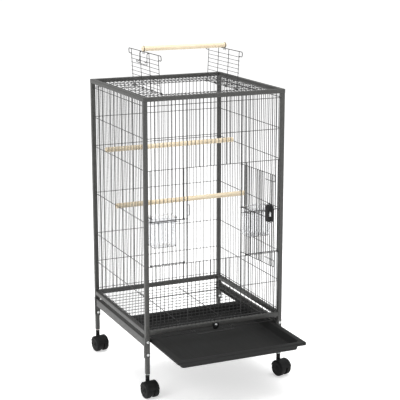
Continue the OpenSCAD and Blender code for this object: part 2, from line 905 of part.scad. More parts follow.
// stem that turns inside the leg, with its neck below the washer
module stem() {
  translate([0, 0, neck_top - 1]) cylinder(h = stem_in_leg + 1, r = stem_r);
  translate([0, 0, neck_low]) cylinder(h = neck_top - neck_low, r = neck_r);
  block(0, 0, wheel_r + 4, neck_low + 1, 2 * web_half, 2 * neck_r - 2);
}

module caster_front_left() { on_caster(-1, -1, turn_front_left) caster_body(); }
module caster_front_right() { on_caster(1, -1, turn_front_right) caster_body(); }
module caster_back_left() { on_caster(-1, 1, turn_back_left) caster_body(); }
module caster_back_right() { on_caster(1, 1, turn_back_right) caster_body(); }

// the two wheels of a caster, one each side of the web, each with a dished outer face
module wheel_pair() {
  rim = wheel_wide - 1;
  bore = axle_r + bore_gap;
  color(black) for (side = [-1, 1]) translate([side * wheel_gap, caster_trail, wheel_r])
    rotate([0, 90 * side, 0]) rotate_extrude()
      polygon([[bore, 0], [wheel_r - wheel_edge, 0], [wheel_r, wheel_edge],
        [wheel_r, rim - wheel_edge], [wheel_r - wheel_edge, rim], [wheel_dish_out, rim],
        [wheel_dish_out - 2, wheel_wide - wheel_dish], [wheel_dish_in + 1.5, wheel_wide - wheel_dish],
        [wheel_dish_in, wheel_wide], [bore, wheel_wide]]);
}

module wheels_front_left() { on_caster(-1, -1, turn_front_left) wheel_pair(); }
module wheels_front_right() { on_caster(1, -1, turn_front_right) wheel_pair(); }
module wheels_back_left() { on_caster(-1, 1, turn_back_left) wheel_pair(); }
module wheels_back_right() { on_caster(1, 1, turn_back_right) wheel_pair(); }

post_front_left();
post_front_right();
post_back_left();
post_back_right();
top_rail_front();
top_rail_back();
top_rail_left();
top_rail_right();
bottom_rail_front();
bottom_rail_back();
bottom_rail_left();
bottom_rail_right();
wall_left();
wall_right();
wall_back();
front_wall_upper();
front_wall_lower();
front_wall_left();
front_wall_right();
door_jambs();
feeder_guides();
roof_front();
roof_back();
roof_left();
roof_right();
stand_side_left();
stand_side_right();
leg_front_left();
leg_front_right();
leg_back_left();
leg_back_right();
frame_bolts();
frame_nuts();
leg_washers();
perch_upper();
perch_lower();
main_door();
latch_housing();
latch_tongue();
feeder_door_left();
feeder_door_right();
feeder_cup_left();
feeder_cup_right();
tray();
floor_grille();
tray_latch();
top_door_left();
top_door_right();
top_perch();
perch_clips();
closing_hook();
caster_front_left();
caster_front_right();
caster_back_left();
caster_back_right();
wheels_front_left();
wheels_front_right();
wheels_back_left();
wheels_back_right();
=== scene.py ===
"""Looks of the play-top bird cage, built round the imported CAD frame. Sizes are in metres."""
import json
import math

import bmesh
import bpy
from mathutils import Matrix, Vector


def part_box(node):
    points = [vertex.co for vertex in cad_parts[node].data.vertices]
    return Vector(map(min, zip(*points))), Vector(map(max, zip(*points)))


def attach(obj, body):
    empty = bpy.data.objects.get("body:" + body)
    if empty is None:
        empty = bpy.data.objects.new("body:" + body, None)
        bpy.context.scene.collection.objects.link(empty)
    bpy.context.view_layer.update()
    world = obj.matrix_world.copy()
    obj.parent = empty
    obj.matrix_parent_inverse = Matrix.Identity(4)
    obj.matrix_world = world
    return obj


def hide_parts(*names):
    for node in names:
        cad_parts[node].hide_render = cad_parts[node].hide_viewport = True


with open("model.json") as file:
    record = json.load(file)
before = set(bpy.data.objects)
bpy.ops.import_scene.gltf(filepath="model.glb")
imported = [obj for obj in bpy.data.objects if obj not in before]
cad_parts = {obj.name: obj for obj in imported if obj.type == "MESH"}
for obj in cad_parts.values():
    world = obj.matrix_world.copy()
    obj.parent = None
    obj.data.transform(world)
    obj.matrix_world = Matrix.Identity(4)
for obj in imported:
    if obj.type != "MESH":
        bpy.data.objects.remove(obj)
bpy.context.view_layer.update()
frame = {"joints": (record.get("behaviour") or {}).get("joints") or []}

MM = 0.001
JOINTS = {joint["name"]: joint for joint in frame["joints"]}

# ---- places and sizes taken from the frame ----

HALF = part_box("top_rail_front")[1].x
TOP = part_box("top_rail_front")[1].z
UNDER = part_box("top_rail_front")[0].z
TUBE = TOP - UNDER
INNER = HALF - TUBE
POST = HALF - TUBE / 2
JOINT_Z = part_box("post_front_left")[0].z
LEG_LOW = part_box("leg_front_left")[0].z
RAIL_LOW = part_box("bottom_rail_back")[0].z
RAIL_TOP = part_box("bottom_rail_back")[1].z
CORNERS = {"front_left": (-1, -1), "front_right": (1, -1), "back_left": (-1, 1), "back_right": (1, 1)}
SIDES = {"front": 0, "right": 90, "back": 180, "left": -90}

# frame tube and wires
TUBE_WALL = 1.2 * MM
TUBE_CORNER = 1.6 * MM
BAR_R = 1 * MM
WELD = 0.25 * MM
WALL_BARS = 33
PITCH = 2 * INNER / (WALL_BARS + 1)
RUNG_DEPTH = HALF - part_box("wall_back")[1].y + BAR_R
BAR_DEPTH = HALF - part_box("wall_back")[0].y - BAR_R
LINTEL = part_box("front_wall_upper")[0].z + BAR_R
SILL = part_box("front_wall_lower")[1].z - BAR_R
FEEDER_TOP = 546 * MM
RUNGS_LOW = (217 * MM, 312 * MM)
RUNGS_HIGH = (799 * MM, 895 * MM)

# door opening
JAMB_BAR = 10
JAMB_R = 1.5 * MM
JAMB_X = INNER - JAMB_BAR * PITCH
JAMB_DEPTH = RUNG_DEPTH + BAR_R + JAMB_R
CURL_R = 3.02 * MM


# ---- mesh building ----

def rounded(path, bend):
    """The path with each corner turned into an arc of the bend radius."""
    points = [Vector(p) for p in path]
    if bend <= 0 or len(points) < 3:
        return points
    made = [points[0]]
    for before, corner, after in zip(points, points[1:], points[2:]):
        come = (corner - before).normalized()
        go = (after - corner).normalized()
        turn = come.angle(go)
        if turn < 0.05:
            made.append(corner)
            continue
        room = min((corner - before).length, (after - corner).length) * 0.49
        reach = min(bend * math.tan(turn / 2), room)
        radius = reach / math.tan(turn / 2)
        across = (go - come * math.cos(turn)).normalized()
        centre = corner - come * reach + across * radius
        steps = max(2, math.ceil(turn / math.radians(20)))
        for i in range(steps + 1):
            angle = turn * i / steps
            made.append(centre - across * radius * math.cos(angle) + come * radius * math.sin(angle))
    made.append(points[-1])
    return made


def rectangle(wide, deep, corner, steps=4):
    """Outline of a rectangle with round corners about the origin."""
    corner = max(corner, 0.02 * MM)
    outline = []
    for quarter, (side_x, side_y) in enumerate(((1, 1), (-1, 1), (-1, -1), (1, -1))):
        middle_x = side_x * (wide / 2 - corner)
        middle_y = side_y * (deep / 2 - corner)
        for step in range(steps + 1):
            angle = math.pi / 2 * (quarter + step / steps)
            outline.append((middle_x + corner * math.cos(angle), middle_y + corner * math.sin(angle)))
    return outline


def at_height(outline, z):
    return [(x, y, z) for x, y in outline]


def arc(middle_x, middle_y, radius, start, end, steps):
    """Points of an arc in a plane, angles in degrees."""
    angles = [math.radians(start + (end - start) * i / steps) for i in range(steps + 1)]
    return [(middle_x + radius * math.cos(a), middle_y + radius * math.sin(a)) for a in angles]


class Shape:
    """Points and faces of one piece, gathered from closed shells drawn in a local place."""

    def __init__(self, place=None):
        self.place = place or Matrix.Identity(4)
        self.points = []
        self.faces = []

    def loft(self, rings, cyclic=False):
        """Skin over rings of equally many points, with flat ends unless it closes on itself."""
        start = len(self.points)
        count = len(rings[0])
        for ring in rings:
            self.points.extend(self.place @ Vector(p) for p in ring)
        for i in range(len(rings) if cyclic else len(rings) - 1):
            a = start + i * count
            b = start + (i + 1) % len(rings) * count
            for j in range(count):
                k = (j + 1) % count
                self.faces.append((a + j, a + k, b + k, b + j))
        if not cyclic:
            self.faces.append(tuple(reversed(range(start, start + count))))
            end = start + (len(rings) - 1) * count
            self.faces.append(tuple(range(end, end + count)))

    def tube(self, path, radius, bend=0.0, sides=12, closed=False):
        """Round wire along a path, with rounded corners and slightly domed tips."""
        points = rounded(path, bend)
        if closed:
            ways = [points[(i + 1) % len(points)] - points[i - 1] for i in range(len(points))]
        else:
            ways = [b - a for a, b in zip([points[0]] + points[:-1], points[1:] + [points[-1]])]
        ways = [way.normalized() for way in ways]
        across = ways[0].orthogonal().normalized()
        rings = []
        for i, (point, way) in enumerate(zip(points, ways)):
            if i:
                across = ways[i - 1].rotation_difference(way) @ across
                across = (across - way * across.dot(way)).normalized()
            other = way.cross(across)
            sizes = [(0.0, 1.0)]
            if not closed and i == 0:
                sizes = [(0.0, 0.5), (0.12, 0.8), (0.4, 1.0)]
            if not closed and i == len(points) - 1:
                sizes = [(-0.4, 1.0), (-0.12, 0.8), (0.0, 0.5)]
            for along, scale in sizes:
                middle = point + way * radius * along
                turns = [2 * math.pi * (j + 0.5) / sides for j in range(sides)]
                rings.append([middle + (across * math.cos(t) + other * math.sin(t)) * radius * scale
                              for t in turns])
        self.loft(rings, cyclic=closed)

    def lathe(self, profile, sides=40):
        """Solid of revolution about the local Z axis from a closed loop of (radius, height)."""
        turns = [2 * math.pi * i / sides for i in range(sides)]
        rings = [[(r * math.cos(t), r * math.sin(t), z) for r, z in profile] for t in turns]
        self.loft(rings, cyclic=True)

    def slab(self, wide, deep, low, high, corner, edge, steps=3):
        """Block about the local Z axis with round corners and rounded rims."""
        rings = []
        for step in range(steps + 1):
            angle = math.pi / 2 * step / steps
            inset = edge * (1 - math.sin(angle))
            outline = rectangle(wide - 2 * inset, deep - 2 * inset, corner - inset)
            rings.append(at_height(outline, low + edge * (1 - math.cos(angle))))
        for step in reversed(range(steps + 1)):
            angle = math.pi / 2 * step / steps
            inset = edge * (1 - math.sin(angle))
            outline = rectangle(wide - 2 * inset, deep - 2 * inset, corner - inset)
            rings.append(at_height(outline, high - edge * (1 - math.cos(angle))))
        self.loft(rings)

    def pipe(self, wide, deep, wall, corner, low, high):
        """Hollow rectangular tube about the local Z axis; low and high give the ends at (x, y)."""
        outside = rectangle(wide, deep, corner)
        inside = rectangle(wide - 2 * wall, deep - 2 * wall, corner - wall)
        rings = [[(x, y, end(x, y)) for x, y in outline]
                 for outline, end in ((outside, low), (outside, high), (inside, high), (inside, low))]
        self.loft(rings, cyclic=True)

    def sheet(self, outline, low, high):
        """Flat plate of any outline between two heights."""
        self.loft([at_height(outline, low), at_height(outline, high)])

    def piece(self, name, body, slot, material, nodes=(), sharp=35):
        """Makes the piece, which rides on its body and stands for the named CAD nodes."""
        data = bpy.data.meshes.new(name)
        data.from_pydata([tuple(p) for p in self.points], [], self.faces)
        work = bmesh.new()
        work.from_mesh(data)
        bmesh.ops.remove_doubles(work, verts=work.verts, dist=0.001 * MM)
        bmesh.ops.recalc_face_normals(work, faces=work.faces)
        work.to_mesh(data)
        work.free()
        data.polygons.foreach_set("use_smooth", [True] * len(data.polygons))
        data.set_sharp_from_angle(angle=math.radians(sharp))
        data.materials.append(material)
        made = bpy.data.objects.new(name, data)
        bpy.context.scene.collection.objects.link(made)
        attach(made, body)
        if nodes:
            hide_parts(*nodes)
        return made


def moved(x, y, z):
    return Matrix.Translation((x, y, z))


def turned(angle, axis="Z"):
    return Matrix.Rotation(math.radians(angle), 4, axis)


# local z runs along X, local x along Y and local y along Z
ALONG_X = Matrix(((0, 0, 1, 0), (1, 0, 0, 0), (0, 1, 0, 0), (0, 0, 0, 1)))
# local z runs along Y, local x along Z and local y along X
ALONG_Y = Matrix(((0, 1, 0, 0), (0, 0, 1, 0), (1, 0, 0, 0), (0, 0, 0, 1)))


def wall_place(side):
    """Place in which a wall is drawn as (along it, inwards from its outer face, up)."""
    return turned(SIDES[side]) @ moved(0, -HALF, 0)


def carve(piece, cutter):
    """Cuts the closed cutter shape out of a piece and throws the cutter away."""
    data = bpy.data.meshes.new("cutter")
    data.from_pydata([tuple(p) for p in cutter.points], [], cutter.faces)
    work = bmesh.new()
    work.from_mesh(data)
    bmesh.ops.recalc_face_normals(work, faces=work.faces)
    work.to_mesh(data)
    work.free()
    tool = bpy.data.objects.new("cutter", data)
    bpy.context.scene.collection.objects.link(tool)
    cut = piece.modifiers.new("cut", "BOOLEAN")
    cut.object = tool
    cut.solver = "EXACT"
    cut.use_self = True
    seen = piece.evaluated_get(bpy.context.evaluated_depsgraph_get())
    result = bpy.data.meshes.new_from_object(seen)
    piece.modifiers.remove(cut)
    piece.data = result
    piece.data.set_sharp_from_angle(angle=math.radians(35))
    bpy.data.objects.remove(tool)


# ---- materials ----

class Surface:
    """A node material with one Principled shader, fed by procedural textures."""

    def __init__(self, name, **values):
        self.material = bpy.data.materials.new(name)
        self.material.use_nodes = True
        self.nodes = self.material.node_tree.nodes
        self.links = self.material.node_tree.links
        self.shader = self.nodes["Principled BSDF"]
        for socket, value in values.items():
            self.shader.inputs[socket.replace("_", " ")].default_value = value
        self.where = self.nodes.new("ShaderNodeTexCoord").outputs["Object"]

    def link(self, source, target):
        self.links.new(source, target)

    def stretched(self, scale):
        """Object coordinates scaled by a factor along each axis."""
        node = self.nodes.new("ShaderNodeMapping")
        node.inputs["Scale"].default_value = scale
        self.link(self.where, node.inputs["Vector"])
        return node.outputs["Vector"]

    def noise(self, scale, detail=2.0, rough=0.5, where=None):
        node = self.nodes.new("ShaderNodeTexNoise")
        node.inputs["Scale"].default_value = scale
        node.inputs["Detail"].default_value = detail
        node.inputs["Roughness"].default_value = rough
        self.link(where or self.where, node.inputs["Vector"])
        return node.outputs["Fac"]

    def cells(self, scale, where=None):
        node = self.nodes.new("ShaderNodeTexVoronoi")
        node.feature = "SMOOTH_F1"
        node.inputs["Scale"].default_value = scale
        node.inputs["Smoothness"].default_value = 0.6
        self.link(where or self.where, node.inputs["Vector"])
        return node.outputs["Distance"]

    def ramp(self, source, *stops):
        node = self.nodes.new("ShaderNodeValToRGB")
        while len(node.color_ramp.elements) < len(stops):
            node.color_ramp.elements.new(0.5)
        for element, (place, colour) in zip(node.color_ramp.elements, stops):
            element.position = place
            element.color = (*colour, 1)
        self.link(source, node.inputs["Fac"])
        return node.outputs["Color"]

    def between(self, source, low, high, start=0.0, end=1.0):
        """Maps a value from start..end to low..high."""
        node = self.nodes.new("ShaderNodeMapRange")
        node.inputs["From Min"].default_value = start
        node.inputs["From Max"].default_value = end
        node.inputs["To Min"].default_value = low
        node.inputs["To Max"].default_value = high
        self.link(source, node.inputs["Value"])
        return node.outputs["Result"]

    def sum(self, first, second, share=0.5):
        """Weighted mix of two values; share is the second one's part."""
        node = self.nodes.new("ShaderNodeMix")
        node.inputs["Factor"].default_value = share
        self.link(first, node.inputs["A"])
        self.link(second, node.inputs["B"])
        return node.outputs["Result"]

    def tinted(self, first, second, factor, mode="MULTIPLY"):
        """Mixes the second colour over the first by a factor socket or number."""
        node = self.nodes.new("ShaderNodeMix")
        node.data_type = "RGBA"
        node.blend_type = mode
        if isinstance(factor, float):
            node.inputs["Factor"].default_value = factor
        else:
            self.link(factor, node.inputs["Factor"])
        self.link(first, node.inputs["A"])
        self.link(second, node.inputs["B"])
        return node.outputs["Result"]

    def bump(self, height, depth, strength=1.0):
        node = self.nodes.new("ShaderNodeBump")
        node.inputs["Strength"].default_value = strength
        node.inputs["Distance"].default_value = depth
        self.link(height, node.inputs["Height"])
        self.link(node.outputs["Normal"], self.shader.inputs["Normal"])

    def colour(self, source):
        self.link(source, self.shader.inputs["Base Color"])

    def roughness(self, source):
        self.link(source, self.shader.inputs["Roughness"])


def hammered_coat(name, dark, light, cell, depth):
    """Dark powder coat with the small dimples of a hammered finish."""
    coat = Surface(name, Metallic=0.0, Specular_IOR_Level=0.42)
    dimples = coat.cells(1 / cell)
    patches = coat.noise(90, 4, 0.6)
    height = coat.sum(dimples, coat.noise(0.7 / cell, 3, 0.55), 0.35)
    coat.colour(coat.ramp(coat.sum(dimples, patches, 0.45), (0.25, dark), (0.75, light)))
    coat.roughness(coat.between(patches, 0.36, 0.52, 0.3, 0.7))
    coat.bump(height, depth)
    return coat.material


def tray_coat():
    """Smooth black coat with faint dust and long shallow scratches."""
    coat = Surface("tray_coat", Specular_IOR_Level=0.16)
    dust = coat.noise(7, 6, 0.65)
    scratches = coat.noise(160, 3, 0.6, coat.stretched((1, 0.06, 1)))
    coat.colour(coat.ramp(coat.sum(dust, scratches, 0.3),
                          (0.3, (0.013, 0.0135, 0.014)), (0.75, (0.022, 0.022, 0.021))))
    coat.roughness(coat.between(coat.sum(dust, scratches, 0.5), 0.5, 0.64, 0.3, 0.7))
    coat.bump(coat.noise(900, 3, 0.6), 0.05 * MM, 0.6)
    return coat.material


def moulded_plastic(name, dark, light, rough=0.42):
    """Black plastic with the fine grain of a mould."""
    plastic = Surface(name, Specular_IOR_Level=0.11)
    grain = plastic.noise(1500, 2, 0.5)
    cloud = plastic.noise(60, 4, 0.6)
    plastic.colour(plastic.ramp(cloud, (0.3, dark), (0.7, light)))
    plastic.roughness(plastic.between(plastic.sum(grain, cloud, 0.5), rough - 0.08, rough + 0.1, 0.3, 0.7))
    plastic.bump(grain, 0.04 * MM, 0.7)
    return plastic.material


def zinc_plate():
    """Bright zinc with a faint cloudy bloom and turning marks."""
    zinc = Surface("zinc_plate", Metallic=1.0)
    bloom = zinc.noise(350, 4, 0.6)
    marks = zinc.noise(2200, 2, 0.5, zinc.stretched((1, 0.2, 1)))
    zinc.colour(zinc.ramp(bloom, (0.3, (0.56, 0.58, 0.6)), (0.7, (0.78, 0.78, 0.76))))
    zinc.roughness(zinc.between(zinc.sum(bloom, marks, 0.4), 0.22, 0.4, 0.3, 0.7))
    zinc.bump(marks, 0.02 * MM, 0.5)
    return zinc.material


def white_nylon():
    nylon = Surface("white_nylon", Subsurface_Weight=0.15, Subsurface_Scale=0.002)
    cloud = nylon.noise(240, 3, 0.6)
    nylon.colour(nylon.ramp(cloud, (0.3, (0.78, 0.78, 0.75)), (0.7, (0.88, 0.88, 0.86))))
    nylon.roughness(nylon.between(cloud, 0.38, 0.5, 0.3, 0.7))
    nylon.bump(nylon.noise(1200), 0.03 * MM, 0.5)
    return nylon.material


def pine(name, turn):
    """Pale sanded pine, its grain along X, with growth streaks, pores and end rings."""
    wood = Surface(name, Specular_IOR_Level=0.3)
    along = wood.stretched((6 + turn, 150, 150))
    fine = wood.stretched((14, 900, 900))
    rings = wood.nodes.new("ShaderNodeTexWave")
    rings.wave_type = "RINGS"
    rings.rings_direction = "X"
    rings.inputs["Scale"].default_value = 95
    rings.inputs["Distortion"].default_value = 3.2
    rings.inputs["Detail"].default_value = 2
    rings.inputs["Detail Scale"].default_value = 0.6
    shifted = wood.nodes.new("ShaderNodeMapping")
    shifted.inputs["Location"].default_value = (0, 0.004 * turn, 0.003)
    shifted.inputs["Scale"].default_value = (0.05, 1, 1)
    wood.link(wood.where, shifted.inputs["Vector"])
    wood.link(shifted.outputs["Vector"], rings.inputs["Vector"])
    streaks = wood.noise(1, 4, 0.6, along)
    pores = wood.noise(1, 2, 0.5, fine)
    grain = wood.sum(rings.outputs["Fac"], streaks, 0.6)
    base = wood.ramp(grain, (0.25, (0.92, 0.82, 0.63)), (0.5, (0.88, 0.75, 0.54)), (0.8, (0.76, 0.6, 0.4)))
    specks = wood.ramp(pores, (0.3, (0.72, 0.62, 0.5)), (0.45, (1, 1, 1)))
    wood.colour(wood.tinted(base, specks, 0.6))
    wood.roughness(wood.between(grain, 0.5, 0.68))
    wood.bump(wood.sum(pores, grain, 0.4), 0.12 * MM, 0.6)
    return wood.material


def smoke_plastic():
    """Clear cup plastic, a little scuffed."""
    cup = Surface("smoke_plastic", Transmission_Weight=0.97, IOR=1.2, Specular_IOR_Level=0.4)
    scuffs = cup.noise(120, 5, 0.65)
    cup.colour(cup.ramp(scuffs, (0.3, (0.9, 0.91, 0.92)), (0.7, (0.96, 0.96, 0.97))))
    cup.roughness(cup.between(scuffs, 0.02, 0.1, 0.3, 0.7))
    cup.bump(cup.noise(60, 3), 0.15 * MM, 0.4)
    return cup.material


COAT = hammered_coat("frame_coat", (0.03, 0.03, 0.03), (0.085, 0.085, 0.08), 1.5 * MM, 0.12 * MM)
WIRE = hammered_coat("wire_coat", (0.022, 0.022, 0.023), (0.05, 0.05, 0.05), 0.8 * MM, 0.05 * MM)
TRAY = tray_coat()
BLACK = moulded_plastic("black_plastic", (0.008, 0.008, 0.009), (0.016, 0.016, 0.016))
TYRE = moulded_plastic("wheel_plastic", (0.006, 0.006, 0.007), (0.013, 0.013, 0.013), 0.5)
ZINC = zinc_plate()
NYLON = white_nylon()
SMOKE = smoke_plastic()


# ---- frame tubes ----

def square_tubes():
    """Posts, legs and rails as square tube with rolled corners."""
    for corner, (side_x, side_y) in CORNERS.items():
        for name, node, low, high in (("post_tube_", "post_", JOINT_Z, UNDER),
                                      ("leg_tube_", "leg_", LEG_LOW, JOINT_Z)):
            tube = Shape(moved(side_x * POST, side_y * POST, 0))
            tube.pipe(TUBE, TUBE, TUBE_WALL, TUBE_CORNER, lambda x, y: low, lambda x, y: high)
            tube.piece(name + corner, "cage_frame", "frame_coat", COAT, [node + corner])
    for side, angle in SIDES.items():
        centre = turned(angle) @ moved(0, -POST, (UNDER + TOP) / 2) @ ALONG_X
        rail = Shape(centre)
        rail.pipe(TUBE, TUBE, TUBE_WALL, TUBE_CORNER,
                  lambda x, y: -(POST - x), lambda x, y: POST - x)
        rail.piece("top_tube_" + side, "cage_frame", "frame_coat", COAT, ["top_rail_" + side])
        rail = Shape(turned(angle) @ moved(0, -POST, (RAIL_LOW + RAIL_TOP) / 2) @ ALONG_X)
        rail.pipe(TUBE, RAIL_TOP - RAIL_LOW, TUBE_WALL, TUBE_CORNER,
                  lambda x, y: -INNER, lambda x, y: INNER)
        rail.piece("bottom_tube_" + side, "cage_frame", "frame_coat", COAT, ["bottom_rail_" + side])


def latch_pin():
    """Riveted pin in the front rail that carries the tray latch."""
    head_out = -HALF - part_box("bottom_rail_front")[0].y
    pin_z = JOINTS["tray_latch_turn"]["pos_m"][2]
    pin = Shape(moved(0, -HALF, pin_z) @ turned(90, "X"))
    dome = [(4.5 * MM * math.cos(a), head_out - 2 * MM + 2 * MM * math.sin(a))
            for a in (math.radians(15 * i) for i in range(7))]
    pin.lathe([(0, -1 * MM), (2.5 * MM, -1 * MM), (2.5 * MM, head_out - 2 * MM)] + dome, 28)
    pin.piece("latch_pin", "cage_frame", "zinc", ZINC)


# ---- wire walls ----

def bar_x(i):
    return -INNER + i * PITCH


def panel(shape, low, high, rungs, left, right, bars):
    """Upright bars between two heights, and the rungs welded across them."""
    for i in bars:
        shape.tube([(bar_x(i), BAR_DEPTH, low), (bar_x(i), BAR_DEPTH, high)], BAR_R)
    for z in rungs:
        shape.tube([(left, RUNG_DEPTH, z), (right, RUNG_DEPTH, z)], BAR_R)


def full_walls():
    rungs = (*RUNGS_LOW, SILL, FEEDER_TOP, LINTEL, *RUNGS_HIGH)
    for side in ("left", "right", "back"):
        wall = Shape(wall_place(side))
        panel(wall, RAIL_TOP - MM, UNDER + MM, rungs, -INNER - MM, INNER + MM, range(1, WALL_BARS + 1))
        wall.piece("wires_wall_" + side, "cage_frame", "frame_coat", WIRE, ["wall_" + side])


def front_wall():
    """Front wires round the door opening and the two feeder openings."""
    middle = WALL_BARS + 1
    bars = [i for i in range(1, middle) if i not in (JAMB_BAR, middle - JAMB_BAR)]
    upper = Shape(wall_place("front"))
    panel(upper, LINTEL - BAR_R, UNDER + MM, (LINTEL, *RUNGS_HIGH), -INNER - MM, INNER + MM, bars)
    upper.piece("wires_front_upper", "cage_frame", "frame_coat", WIRE, ["front_wall_upper"])
    lower = Shape(wall_place("front"))
    panel(lower, RAIL_TOP - MM, SILL + BAR_R, (*RUNGS_LOW, SILL), -INNER - MM, INNER + MM, bars)
    lower.piece("wires_front_lower", "cage_frame", "frame_coat", WIRE, ["front_wall_lower"])
    for name, side in (("left", -1), ("right", 1)):
        wires = Shape(wall_place("front"))
        ends = sorted((side * (INNER + MM), side * (JAMB_X - JAMB_R)))
        panel(wires, FEEDER_TOP - BAR_R, LINTEL - BAR_R, (FEEDER_TOP,), *ends,
              [i for i in bars if bar_x(i) * side > JAMB_X])
        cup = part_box("feeder_cup_" + name)
        rail_x = (cup[0].x + cup[1].x) / 2
        rail_half = (cup[1].x - cup[0].x) / 2 + 3.6 * MM
        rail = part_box("front_wall_" + name)
        rail_z = rail[0].z + BAR_R
        rail_depth = rail[1].y + HALF - BAR_R
        weld_z = FEEDER_TOP - 2 * WELD
        down = [(RUNG_DEPTH, weld_z), (rail_depth, weld_z), (rail_depth, rail_z)]
        path = [(rail_x - rail_half, depth, z) for depth, z in down]
        path += [(rail_x + rail_half, depth, z) for depth, z in reversed(down)]
        wires.tube(path, BAR_R, bend=2.5 * MM)
        wires.piece("wires_front_" + name, "cage_frame", "frame_coat", WIRE, ["front_wall_" + name])


def jambs():
    """Thick uprights of the doorway and the strike wire that the latch tongue enters."""
    posts = Shape(wall_place("front"))
    for side in (-1, 1):
        x = side * JAMB_X
        posts.tube([(x, JAMB_DEPTH, RAIL_TOP - MM), (x, JAMB_DEPTH, UNDER + MM)], JAMB_R, sides=16)
    low, high, reach = 556 * MM, 589 * MM, 5.4 * MM
    posts.tube([(-JAMB_X, JAMB_DEPTH, low), (-JAMB_X + reach, JAMB_DEPTH, low),
                (-JAMB_X + reach, JAMB_DEPTH, high), (-JAMB_X, JAMB_DEPTH, high)], BAR_R, bend=2 * MM)
    posts.piece("doorway_posts", "cage_frame", "frame_coat", WIRE, ["door_jambs"])


GUIDE_R = 1.25 * MM
GUIDE_X = (104.5 * MM, 213.5 * MM)
GUIDE_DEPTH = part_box("feeder_guides")[0].y + HALF + GUIDE_R


def feeder_guides():
    rods = Shape(wall_place("front"))
    for x in (-GUIDE_X[1], -GUIDE_X[0], GUIDE_X[0], GUIDE_X[1]):
        rods.tube([(x, RUNG_DEPTH, SILL), (x, GUIDE_DEPTH, SILL),
                   (x, GUIDE_DEPTH, LINTEL), (x, RUNG_DEPTH, LINTEL)], GUIDE_R, bend=2 * MM)
    rods.piece("feeder_guide_rods", "cage_frame", "frame_coat", WIRE, ["feeder_guides"])


# ---- roof ----

HINGE_LEFT = Vector(JOINTS["top_door_left_hinge"]["pos_m"])
ROD_X = -HINGE_LEFT.x
ROOF_Z = HINGE_LEFT.z
ROD_R = 1.5 * MM
OPEN_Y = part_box("roof_left")[1].y + BAR_R
ROOF_RUNG_Z = ROOF_Z - 2 * BAR_R + WELD
ROOF_SIDE_GAPS = 7
ROOF_MIDDLE_GAPS = 20


def roof():
    """Wires round the roof opening, with a hinge rod on each side of it."""
    side_pitch = (INNER - ROD_X) / ROOF_SIDE_GAPS
    middle_pitch = 2 * ROD_X / ROOF_MIDDLE_GAPS
    side_x = [INNER - i * side_pitch for i in range(1, ROOF_SIDE_GAPS + 1)]
    middle_x = [-ROD_X + i * middle_pitch for i in range(1, ROOF_MIDDLE_GAPS)]
    edge = OPEN_Y - BAR_R
    outer_rung_y, side_rung_y = 170 * MM, 72 * MM
    for name, side in (("front", -1), ("back", 1)):
        wires = Shape()
        for x in [-x for x in side_x] + middle_x + side_x:
            wires.tube([(x, side * edge, ROOF_Z), (x, side * (INNER + MM), ROOF_Z)], BAR_R)
        for y in (OPEN_Y, outer_rung_y):
            wires.tube([(-INNER - MM, side * y, ROOF_RUNG_Z), (INNER + MM, side * y, ROOF_RUNG_Z)], BAR_R)
        wires.piece("wires_roof_" + name, "cage_frame", "frame_coat", WIRE, ["roof_" + name])
    for name, side in (("left", -1), ("right", 1)):
        wires = Shape()
        for x in side_x[:-1]:
            wires.tube([(side * x, -edge, ROOF_Z), (side * x, edge, ROOF_Z)], BAR_R)
        wires.tube([(side * ROD_X, -edge, ROOF_Z), (side * ROD_X, edge, ROOF_Z)], ROD_R, sides=16)
        for y in (-side_rung_y, 0, side_rung_y):
            wires.tube([(side * (INNER + MM), y, ROOF_RUNG_Z), (side * ROD_X, y, ROOF_RUNG_Z)], BAR_R)
        wires.piece("wires_roof_" + name, "cage_frame", "frame_coat", WIRE, ["roof_" + name])


# ---- stand ----

def bracket(shape, side_x, side_y, low, high, wall=1.5 * MM, base=2 * MM, grip=10 * MM):
    """Folded channel with cut corners that clamps a post to its leg."""
    half_wide = TUBE / 2 + wall
    shape.place = moved(side_x * POST, side_y * INNER, 0) @ turned(0 if side_y < 0 else 180)
    cut = 3 * MM
    # in this place the tube lies at negative y and the base plate at positive y
    base_outline = [(-half_wide, low), (half_wide, low), (half_wide, high), (-half_wide, high)]
    rings = [[(x, y, z) for x, z in base_outline] for y in (0, base)]
    shape.loft(rings)
    side_outline = [(base, low + cut * 0.3), (base, high - cut * 0.3), (0, high), (-grip + cut, high),
                    (-grip, high - cut), (-grip, low + cut), (-grip + cut, low), (0, low)]
    for end in (-1, 1):
        near = end * TUBE / 2
        far = end * half_wide
        shape.loft([[(x, y, z) for y, z in side_outline] for x in (near, far)])


def stand_sides():
    """Side rails with their four brackets and the folded runner for tray and grille."""
    thick = 12 * MM
    for name, side in (("left", -1), ("right", 1)):
        node = "stand_side_" + name
        low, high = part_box(node)[0].z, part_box(node)[1].z
        rail_low, rail_high = 157 * MM, 182 * MM
        made = Shape(moved(side * (HALF - thick / 2), 0, (rail_low + rail_high) / 2) @ ALONG_Y)
        reach = INNER - MM
        made.pipe(rail_high - rail_low, thick, TUBE_WALL, TUBE_CORNER,
                  lambda x, y: -reach, lambda x, y: reach)
        for side_y in (-1, 1):
            bracket(made, side, side_y, low, high)
        made.place = Matrix.Identity(4)
        runner_half = 212 * MM
        sheet = 1.2 * MM
        web = side * (HALF - thick)
        ledge = side * (HALF - thick - 15 * MM)
        tray_ledge, grille_ledge = 166 * MM, 178 * MM
        strips = [(web, ledge, z, z + sheet) for z in (tray_ledge, grille_ledge)]
        strips.append((web, web - side * sheet, tray_ledge, grille_ledge + sheet))
        for near, far, bottom, top in strips:
            outline = [(near, bottom), (far, bottom), (far, top), (near, top)]
            made.loft([[(x, y, h) for x, h in outline] for y in (-runner_half, runner_half)])
        made.piece("stand_rail_" + name, "cage_frame", "frame_coat", COAT, [node])


